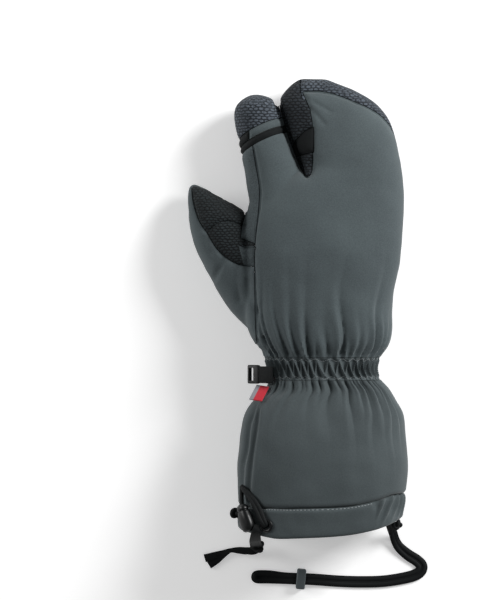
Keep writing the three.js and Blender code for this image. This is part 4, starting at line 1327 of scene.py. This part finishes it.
def grip_knit(name, ground, raised, across=3.7, along=2.1, depth=0.0004):
    """Knit for grip: staggered rows of raised ovals of lighter heathered thread on a dark ground,
    as wide and long as given and drawn from the three sides according to how a face lies."""
    material, tree = new_material(name)
    place = node(tree, "TexCoord", output="Object")
    near, fine, wide = (node(tree, "VectorMath", place, operation="SCALE", Scale=PER_METRE / size)
                        for size in (6, 1.5, 16))
    warp = node(tree, "TexNoise", output="Color", Vector=near, Scale=1.0, Detail=1.0)
    shift = (0.0024, 0.0024, 0.0024)
    at = node(tree, "VectorMath", warp, shift, place, operation="MULTIPLY_ADD")
    at = node(tree, "SeparateXYZ", at, output=None)
    facing = node(tree, "NewGeometry", output="Normal")
    facing = node(tree, "SeparateXYZ", facing, output=None)
    weights, height, total = [], None, None
    for i in (2, 0, 1):
        amount = node(tree, "Math", facing[i], operation="ABSOLUTE")
        weights.append(node(tree, "Math", amount, 5.0, operation="POWER"))
        total = weights[-1] if total is None else node(tree, "Math", total, weights[-1])
    for weight, (first, second) in zip(weights, ((0, 1), (2, 1), (0, 2))):
        row = node(tree, "Math", at[second], PER_METRE / along, operation="MULTIPLY")
        number = node(tree, "Math", row, operation="FLOOR")
        step = node(tree, "Math", number, 0.5, operation="MULTIPLY")
        step = node(tree, "Math", step, operation="FRACT")
        column = node(tree, "Math", at[first], PER_METRE / across, step, operation="MULTIPLY_ADD")
        squares = []
        for line, size in ((column, 2.1), (row, 2.15)):
            part = node(tree, "Math", line, operation="FRACT")
            part = node(tree, "Math", part, 0.5, operation="SUBTRACT")
            part = node(tree, "Math", part, size, operation="MULTIPLY")
            squares.append(node(tree, "Math", part, part, operation="MULTIPLY"))
        away = node(tree, "Math", *squares)
        edge = node(tree, "MapRange", away, 0.3, 1.1, 0.0, 1.0, interpolation_type="SMOOTHSTEP")
        oval = node(tree, "Math", 1.0, edge, operation="SUBTRACT")
        share = node(tree, "Math", weight, total, operation="DIVIDE")
        part = node(tree, "Math", oval, share, operation="MULTIPLY")
        height = part if height is None else node(tree, "Math", height, part)
    heather = node(tree, "TexNoise", Vector=fine, Scale=1.0, Detail=3.0, Roughness=0.7)
    patches = node(tree, "TexNoise", Vector=wide, Scale=1.0, Detail=1.0)
    threads = node(tree, "MapRange", heather, 0.32, 0.66, 0.25, 1.15)
    worn = node(tree, "MapRange", patches, 0.35, 0.65, 0.72, 1.1)
    uneven = node(tree, "Math", threads, worn, operation="MULTIPLY")
    ground_tone = node(tree, "Math", heather, 0.12, operation="MULTIPLY")
    tone = node(tree, "Math", height, uneven, ground_tone, operation="MULTIPLY_ADD")
    colour = node(tree, "Mix", output="Result", data_type="RGBA",
                  Factor=tone, A=linear(ground), B=linear(raised))
    bump = node(tree, "Bump", Height=height, Distance=depth, Strength=0.85)
    surface = node(
        tree, "BsdfPrincipled", Base_Color=colour, Normal=bump, Roughness=0.78,
        Sheen_Weight=0.04, Specular_IOR_Level=0.16)
    node(tree, "OutputMaterial", surface, output=None)
    return material


def moulded(name, colour, roughness, specular=0.5):
    """Moulded plastic whose shine is faintly uneven every few millimetres."""
    material, tree = new_material(name)
    place = node(tree, "TexCoord", output="Object")
    place = node(tree, "VectorMath", place, operation="SCALE", Scale=PER_METRE / 2.5)
    wear = node(tree, "TexNoise", Vector=place, Scale=1.0, Detail=3.0)
    rough = node(tree, "MapRange", wear, 0.3, 0.7, roughness - 0.03, roughness + 0.03)
    surface = node(tree, "BsdfPrincipled", Base_Color=linear(colour), Roughness=rough,
                   Specular_IOR_Level=specular)
    node(tree, "OutputMaterial", surface, output=None)
    return material


materials = {
    # water-repellent soft shell of the hand: a dull blue grey; the cuff's copy is a little darker,
    # painted shade for the light falling off towards the hem
    "softshell": plain_weave("soft shell", "3e4548", "505a5c", 0.84, 0.9, 0.12),
    "cuff": plain_weave("cuff soft shell painted shade", "3d4446", "4a5254", 0.84, 0.9, 0.12),
    # knit of the fingers' caps and hood: pale ovals on black; bluer and larger on the palm,
    # finer and darker on the thumb
    "cap": grip_knit("cap knit", "15191d", "575f68"),
    "palm": grip_knit("palm knit", "10131a", "42485a", 4.0, 2.3),
    "thumb": grip_knit("thumb knit", "080a0b", "262d2f", 3.2, 1.9),
    # the cap knit made darker on the hood's side and underside: painted shade where these faces
    # turn away from the light
    "hood painted shade": grip_knit("hood painted shade knit", "080a0c", "2c3237"),
    # fine heathered weave of the strip along the finger
    "strip": plain_weave("strip weave", "23292b", "545d60", 0.85, 0.9, 0.03, 0.00015),
    # smooth black stretch cloth, nearly without a pattern
    "stretch": plain_weave("stretch cloth", "0d0f10", "181b1c", 0.85, 0.5, 0.0),
    # black nylon cord and webbing, woven and slightly shiny
    "webbing": plain_weave("webbing", "080a0b", "171a1b", 0.7, 0.45, 0.0, 0.00012),
    # black acetal, moulded smooth
    "plastic": moulded("black plastic", "0b0d0e", 0.36, 0.3),
    # black nylon with a dull moulded skin
    "buckle": moulded("dull black plastic", "0e1011", 0.6),
    # grey nylon, moulded dull
    "slider": moulded("grey plastic", "4d5659", 0.55),
    # red woven label with its grey end, and the pale polyester thread of the stitches
    "label": plain_weave("red label", "a3202e", "b62a37", 0.7, 0.4),
    "label grey": plain_weave("grey label", "77777d", "8b8b91", 0.7, 0.4),
    "thread": plain_weave("thread", "8b9194", "a3a9ab", 0.6, 0.3),
}


SHARP_ANGLE = math.radians(50)


def finished(piece, name, slot, *nodes):
    """Brings a piece to metres in the part's frame, smooths it, and hides the model's parts that it
    stands for.
    """
    piece.name = name
    mesh = piece.data
    mesh.name = name
    mesh.transform(Matrix.Scale(MM, 4) @ Matrix.Translation(WRIST_AT))
    if not any(mesh.materials):
        mesh.materials.clear()
        mesh.materials.append(materials[slot])
    mesh.polygons.foreach_set("use_smooth", [True] * len(mesh.polygons))
    mesh.set_sharp_from_angle(angle=SHARP_ANGLE)
    mesh.update()
    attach(piece, "root")
    if nodes:
        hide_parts(*nodes)


def two_tone(piece, place, normal, kinds, second):
    """Divides a piece's faces along a plane between two materials: second(face, side) says
    whether a face, on that side of the plane, is of the other one."""
    bm = bmesh.new()
    bm.from_mesh(piece.data)
    bmesh.ops.bisect_plane(bm, geom=list(bm.verts) + list(bm.edges) + list(bm.faces), dist=1e-4,
                           plane_co=place, plane_no=normal)
    for face in bm.faces:
        face.material_index = int(second(face, (face.calc_center_median() - place).dot(normal)))
    piece.data.materials.clear()
    for kind in kinds:
        piece.data.materials.append(materials[kind])
    bm.to_mesh(piece.data)
    bm.free()


def painted_shade_side(face, side):
    """The hood's faces painted with shade: beyond its short seam, underneath and in the slot."""
    place = face.calc_center_median()
    return side < 0 or face.normal.z < -0.3 or (place.x < 0 and place.y < 190)


def web(face, side):
    """The top of the thumb's grip cloth between the thumb and the strip."""
    place = face.calc_center_median()
    return side < 0 and place.z > 20 and place.y < 86


# The label is grey at its left end
label_across = label_turn @ Vector((1, 0, 0))
two_tone(label, label_place - label_across * 1.6, label_across, ("label", "label grey"),
         lambda face, side: side < 0)
# the hood's left side and underside take the darker copy of its knit, which is painted shade
two_tone(hand["mitten_hood"][0], Vector((-13.9, 198, 0)), Vector((1, 0.075, 0)),
         ("cap", "hood painted shade"), painted_shade_side)
two_tone(hand["thumb_grip"][0], Vector((-56.5, 80, 0)), Vector((-1, -0.25, 0)).normalized(),
         ("thumb", "strip"), web)

for name, (piece, slot) in hand.items():
    finished(piece, name + "_cloth", slot, name)
# the cuff pieces take the darker copy of the soft shell, which is painted shade
finished(wrist_band, "wrist_band_cloth", "cuff", "wrist_band")
finished(gauntlet, "gauntlet_cloth", "cuff", "gauntlet")
finished(hem, "hem_cloth", "cuff", "hem")
finished(grommet, "grommet_ring", "plastic", "grommet")
finished(lock, "lock_barrel", "plastic", "cord_lock_body")
finished(lock_knot, "lock_knot", "webbing", "cord_lock_knot")
finished(shock_cord, "shock_cord_strands", "webbing", "shock_cord")
finished(tab, "tab_strap", "webbing", "tab_webbing")
finished(tab_frame, "tab_buckle", "buckle", "tab_frame")
finished(label, "folded_label", "label", "side_label")
finished(hem_threads, "hem_stitches", "thread")
finished(band_threads, "wrist_stitches", "thread")


finished(tape, "tape_band", "webbing", "pull_tape")
finished(tail, "tape_tail", "webbing")
finished(tape_knot, "tape_knot", "webbing", "pull_tape_knot")
finished(leash, "leash_band", "webbing", "leash")
finished(leash_knot, "leash_end_knot", "webbing", "leash_knot")
finished(slider, "slider_block", "slider", "leash_slider")

# Pale matt floor and soft light, strongest from above the fingers away from the thumb. The floor
# glows a little, so that it comes out as near white as the picture's ground
floor_mesh = bmesh.new()
bmesh.ops.create_grid(floor_mesh, x_segments=1, y_segments=1, size=3)
floor = new_object("floor", floor_mesh)
floor_material, floor_tree = new_material("pale floor")
floor_surface = node(
    floor_tree, "BsdfPrincipled", Base_Color=linear("f4f4f4"), Roughness=0.9,
    Emission_Color=(1, 1, 1, 1), Emission_Strength=0.35)
node(floor_tree, "OutputMaterial", floor_surface, output=None)
floor.data.materials.append(floor_material)
floor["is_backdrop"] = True


def lamp(name, place, size, power):
    """A square lamp that points at the mitten."""
    data = bpy.data.lights.new(name, "AREA")
    data.size = size
    data.energy = power
    light = bpy.data.objects.new(name, data)
    light.location = place
    aim = Vector((0, 0, 0.02)) - Vector(place)
    light.rotation_euler = aim.to_track_quat("-Z", "Y").to_euler()
    bpy.context.collection.objects.link(light)
    light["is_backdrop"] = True


lamp("key", (1.22, 0.8, 0.85), 0.6, 35)
lamp("rim", (-1.3, 0.35, 0.4), 0.5, 9.5)
world = bpy.data.worlds.new("room")
world.use_nodes = True
sky = world.node_tree.nodes["Background"].inputs
sky["Color"].default_value = (1, 1, 1, 1)
sky["Strength"].default_value = 0.21
bpy.context.scene.world = world
bpy.context.scene.view_settings.view_transform = "Standard"

box_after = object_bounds()


def plain_box(value):
    """A box as plain lists of numbers."""
    if isinstance(value, dict):
        return {str(k): plain_box(v) for k, v in value.items()}
    return [plain_box(v) for v in value] if hasattr(value, "__len__") else float(value)


{"before": plain_box(BOX_BEFORE), "after": plain_box(box_after)}
